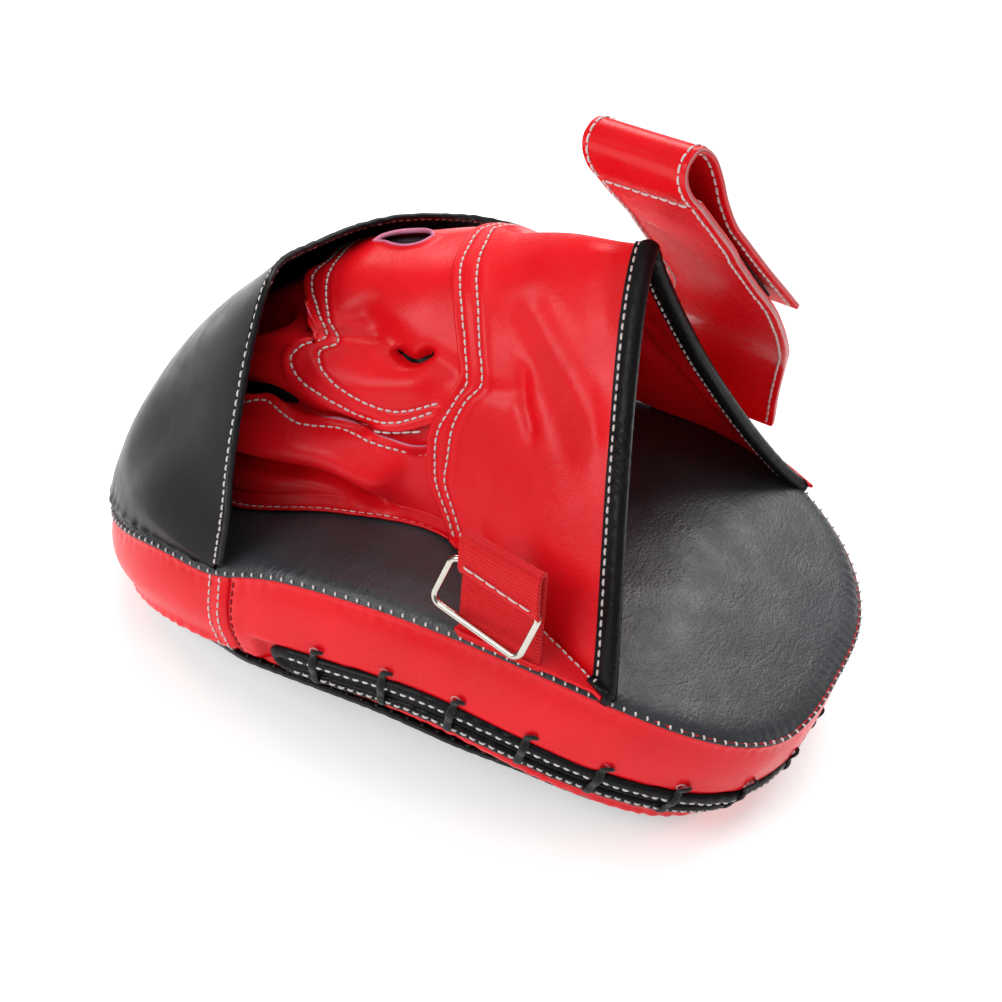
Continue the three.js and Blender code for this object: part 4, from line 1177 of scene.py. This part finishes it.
def ring_wire():
    x = unit(BAR_ENDS[1] - BAR_ENDS[0])
    middle = BAR_ENDS.mean(0) + RING_ASIDE * x
    y = unit(-WEB_OUT - (-WEB_OUT @ x) * x)
    z = np.cross(x, y)
    half, low = (RING_WIDE + WIRE) / 2 - RING_CORNER, -RING_HIGH - WIRE + RING_CORNER
    path = []
    corners = [(half, -RING_CORNER), (-half, -RING_CORNER), (-half, low), (half, low)]
    for quarter, (cx, cz) in enumerate(corners):
        for a in np.linspace(quarter, quarter + 1, 12) * math.pi / 2:
            right, up = cx + RING_CORNER * math.cos(a), cz + RING_CORNER * math.sin(a)
            path.append(middle + x * right + z * up)
    loop = np.array(path + path[:1])
    run = length_along(loop)
    path = read(np.linspace(0, run[-1], 160, endpoint=False), run, loop)
    tube("ring_wire", path, y, WIRE / 2, WIRE / 2, NICKEL, body="ring", sides=20, closed=True,
         stands_for=["rectangular_ring"], slot="nickel")


ring_webbing()
ring_wire()

# ---- wrist strap ----
BEND = np.array([50.9, 12.9, 176.7])
STRAP_ACROSS = unit([0.945, -0.28, 0.17])
STRAP_DOWN = np.array([0.27, 0.605, -0.75])
STRAP_DOWN = unit(STRAP_DOWN - (STRAP_DOWN @ STRAP_ACROSS) * STRAP_ACROSS)
STRAP_OUT = np.cross(STRAP_ACROSS, STRAP_DOWN)
STRAP_HALF = 20.0


def on_strap(out, down, side=0.0):
    """A point beside the standing strap, from its bend: down the strap, out of it and across it."""
    return BEND + STRAP_OUT * out + STRAP_DOWN * down + STRAP_ACROSS * side


def ply_section(thick):
    """Two plies of leather with their cut edges, in four runs: top, right, low and left."""
    half, t = STRAP_HALF, thick / 2
    right = [(half - 0.9, t), (half - 0.25, t * 0.92), (half, t * 0.7), (half, t * 0.2),
             (half - 0.35, 0),
             (half, -t * 0.2), (half, -t * 0.7), (half - 0.25, -t * 0.92), (half - 0.9, -t)]
    flat = np.linspace(-half + 3.5, half - 3.5, 5)
    top = [(x, t + 0.10 * math.exp(-((abs(x) - half + 2.6) / 1.1) ** 2)) for x in flat]
    low = [(x, -y) for x, y in reversed(top)]
    return np.array(top + right + low + [(-x, y) for x, y in reversed(right)])


CUT_FACES = {7, 9, 21, 23}  # the faces of ply_section that show the cut edges
STRAP_ROW = 2.4  # from the strap's edge to its rows of stitches
STRAP_STITCH = {"pitch": 3.6, "length": 3.1, "radius": 0.4}


def strap_piece(name, nodes, centres, crosses, thick, wave, flare=0.0):
    """A run of strap and its four rows of stitches, on no body. wave curls it a little; flare widens
    its near edge a third of the way along."""
    path = even(centres, 0.8)
    share = np.linspace(0, 1, len(path))
    cross = even_shares(np.asarray(crosses, float), len(path))
    along = unit(np.gradient(path, axis=0))
    side = unit(cross - (cross * along).sum(-1, keepdims=True) * along)
    up = np.cross(side, along)
    section = ply_section(thick)
    share, over = share[:, None], section[None, :, 0] / STRAP_HALF
    held = smooth(share, 0, 0.12) * smooth(1 - share, 0, 0.12)
    lift = wave * held * (np.sin(share * 9 + 1) * over + 0.7 * np.sin(share * 14) * over ** 2)
    wide = flare * np.minimum(over, 0) * hill(share, 0.34, 0.16)
    verts = path[:, None] + (section[None, :, :1] + wide[..., None]) * side[:, None]
    verts = verts + (section[None, :, 1:] + lift[..., None]) * up[:, None]
    faces = loft_faces(len(path), len(section))
    mats = [int(j in CUT_FACES) for j in range(len(section))] * (len(path) - 1) + [1, 1]
    made = [mesh(name, verts.reshape(-1, 3), faces, [STRAP_RED, PLY_EDGE], None, stands_for=nodes,
                 slot="strap_leather", face_mats=mats)]
    inset = STRAP_HALF - STRAP_ROW
    for face, edge in ((1, 1), (1, -1), (-1, 1), (-1, -1)):
        column = int(np.argmin(np.abs(section[:, 0] - edge * inset) + (section[:, 1] * face < 0) * 99))
        p = path + side * (edge * inset + wide[:, column, None])
        p = p + up * (face * (thick / 2 + 0.08) + lift[:, column, None])
        made.append(stitches(f"{name}_thread_{len(made)}", p, up * face, body=None, **STRAP_STITCH))
    return made


FOOT_ACROSS = np.array([0.99, 0, -0.12])
STRAP_FOOT = [(56.5, 79, 74.5), (56.6, 77.5, 83), (57.4, 73, 96), (59.2, 65, 111), (61.3, 54, 124)]
# The standing strap up to its bend and its loop, as (out, down, aside), and the part folded back over.
STRAP_LOW = [(0, 41, -4), (0, 20, -3), (0, 1.8, -2), (0, -3, -1), (0, -16, -0.5), (0, -31, -0.5)]
STRAP_OVER = [
    (-0.4, -30.5), (-0.3, -37), (1.6, -42.6), (4.3, -45.2), (7.2, -45.5), (9.9, -44.9), (12.2, -42.5),
    (13.6, -36), (12, -28), (8.4, -19), (5.4, -8), (5, 3), (5.2, 20), (6.1, 47),
]


def wrist_strap():
    centres = STRAP_FOOT + [on_strap(*place) for place in STRAP_LOW]
    lower = strap_piece("strap_lower", ["strap_base", "strap_band"], centres,
                        [FOOT_ACROSS] * 2 + [STRAP_ACROSS] * 3, 2.8, wave=0.5, flare=8.0)
    for obj in lower:
        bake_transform(obj)
    upper = strap_piece("strap_upper", ["strap_tail"], [on_strap(*place, -0.5) for place in STRAP_OVER],
                        [STRAP_ACROSS] * 2, 2.0, wave=0.35)
    side = np.linspace(-STRAP_HALF + STRAP_ROW, STRAP_HALF - STRAP_ROW, 80)
    for k, face in enumerate((1, -1)):
        path = np.array([on_strap(1.55 * face, -30.0 - 0.02 * x, x - 0.5) for x in side])
        stitches(f"strap_cross_thread_{k + 1}", path, STRAP_OUT * face, body="strap_band",
                 **STRAP_STITCH)
    for obj in upper:
        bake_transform(obj)


wrist_strap()
for node, material in (("loop_patch", HOOK_TAPE), ("hook_patch", HOOK_TAPE), ("face_foam", FOAM),
                       ("middle_foam", FOAM), ("back_foam", FOAM)):
    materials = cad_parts[node].data.materials
    materials.clear()
    materials.append(material)


# ---- floor, light and camera ----
def area_light(name, place, target, size, power):
    light = bpy.data.lights.new(name, "AREA")
    light.shape = "RECTANGLE"
    light.size, light.size_y = size
    light.energy = power
    obj = bpy.data.objects.new(name, light)
    bpy.context.scene.collection.objects.link(obj)
    obj.location = place
    obj.rotation_euler = (target - place).to_track_quat("-Z", "Y").to_euler()


WHITE = (1, 1, 1, 1)
FLOOR_HALF, FLOOR_GAP = 6, 0.0004  # metres
WORLD_LIGHT = 0.22


def studio():
    data = bpy.data.meshes.new("floor")
    signs = ((-1, -1), (1, -1), (1, 1), (-1, 1))
    corners = [(x * FLOOR_HALF, y * FLOOR_HALF, -FLOOR_GAP) for x, y in signs]
    data.from_pydata(corners, [], [(0, 1, 2, 3)])
    pale = Shader("pale floor", Base_Color=(0.9, 0.9, 0.9, 1), Roughness=0.9, Emission_Color=WHITE,
                  Emission_Strength=0.45)
    data.materials.append(pale.material)
    floor = bpy.data.objects.new("floor", data)
    bpy.context.scene.collection.objects.link(floor)
    world = bpy.data.worlds.new("studio")
    bpy.context.scene.world = world
    world.use_nodes = True
    nodes, links = world.node_tree.nodes, world.node_tree.links
    lit = nodes["Background"]
    lit.inputs["Color"].default_value = WHITE
    lit.inputs["Strength"].default_value = WORLD_LIGHT
    kinds = ("Background", "LightPath", "MixShader")
    seen, ray, mix = (nodes.new("ShaderNode" + kind) for kind in kinds)
    seen.inputs["Color"].default_value = WHITE
    links.new(ray.outputs["Is Camera Ray"], mix.inputs[0])
    links.new(lit.outputs[0], mix.inputs[1])
    links.new(seen.outputs[0], mix.inputs[2])
    links.new(mix.outputs[0], nodes["World Output"].inputs["Surface"])
    centre = Vector((0, 0, 0.07))
    for name, direction, distance, size, power in (
        ("back_softbox", (0.1, 0.7, 0.72), 1.3, (1.1, 0.8), 13),
        ("left_softbox", (-0.52, 0.62, 0.57), 1.3, (0.6, 0.5), 4.5),
        ("front_softbox", (-0.42, -0.72, 0.6), 1.5, (0.9, 0.7), 11),
        ("top_softbox", (0.1, -0.1, 1.0), 1.4, (1.2, 1.0), 5),
    ):
        area_light(name, centre + Vector(direction).normalized() * distance, centre, size, power)
    bpy.context.scene.view_settings.view_transform = "Standard"


def camera():
    data = bpy.data.cameras.new("camera")
    data.sensor_width = 36
    data.lens = 77.2
    obj = bpy.data.objects.new("camera", data)
    bpy.context.scene.collection.objects.link(obj)
    right, up, forward = (0.8945, 0.4330, 0.1113), (-0.3480, 0.5182, 0.7813), (-0.2806, 0.7376, -0.6142)
    place = metres((216.27, -552.23, 519.49))
    turn = Matrix((right, up, [-x for x in forward])).transposed().to_4x4()
    obj.matrix_world = Matrix.Translation(place) @ turn
    bpy.context.scene.camera = obj


studio()
camera()
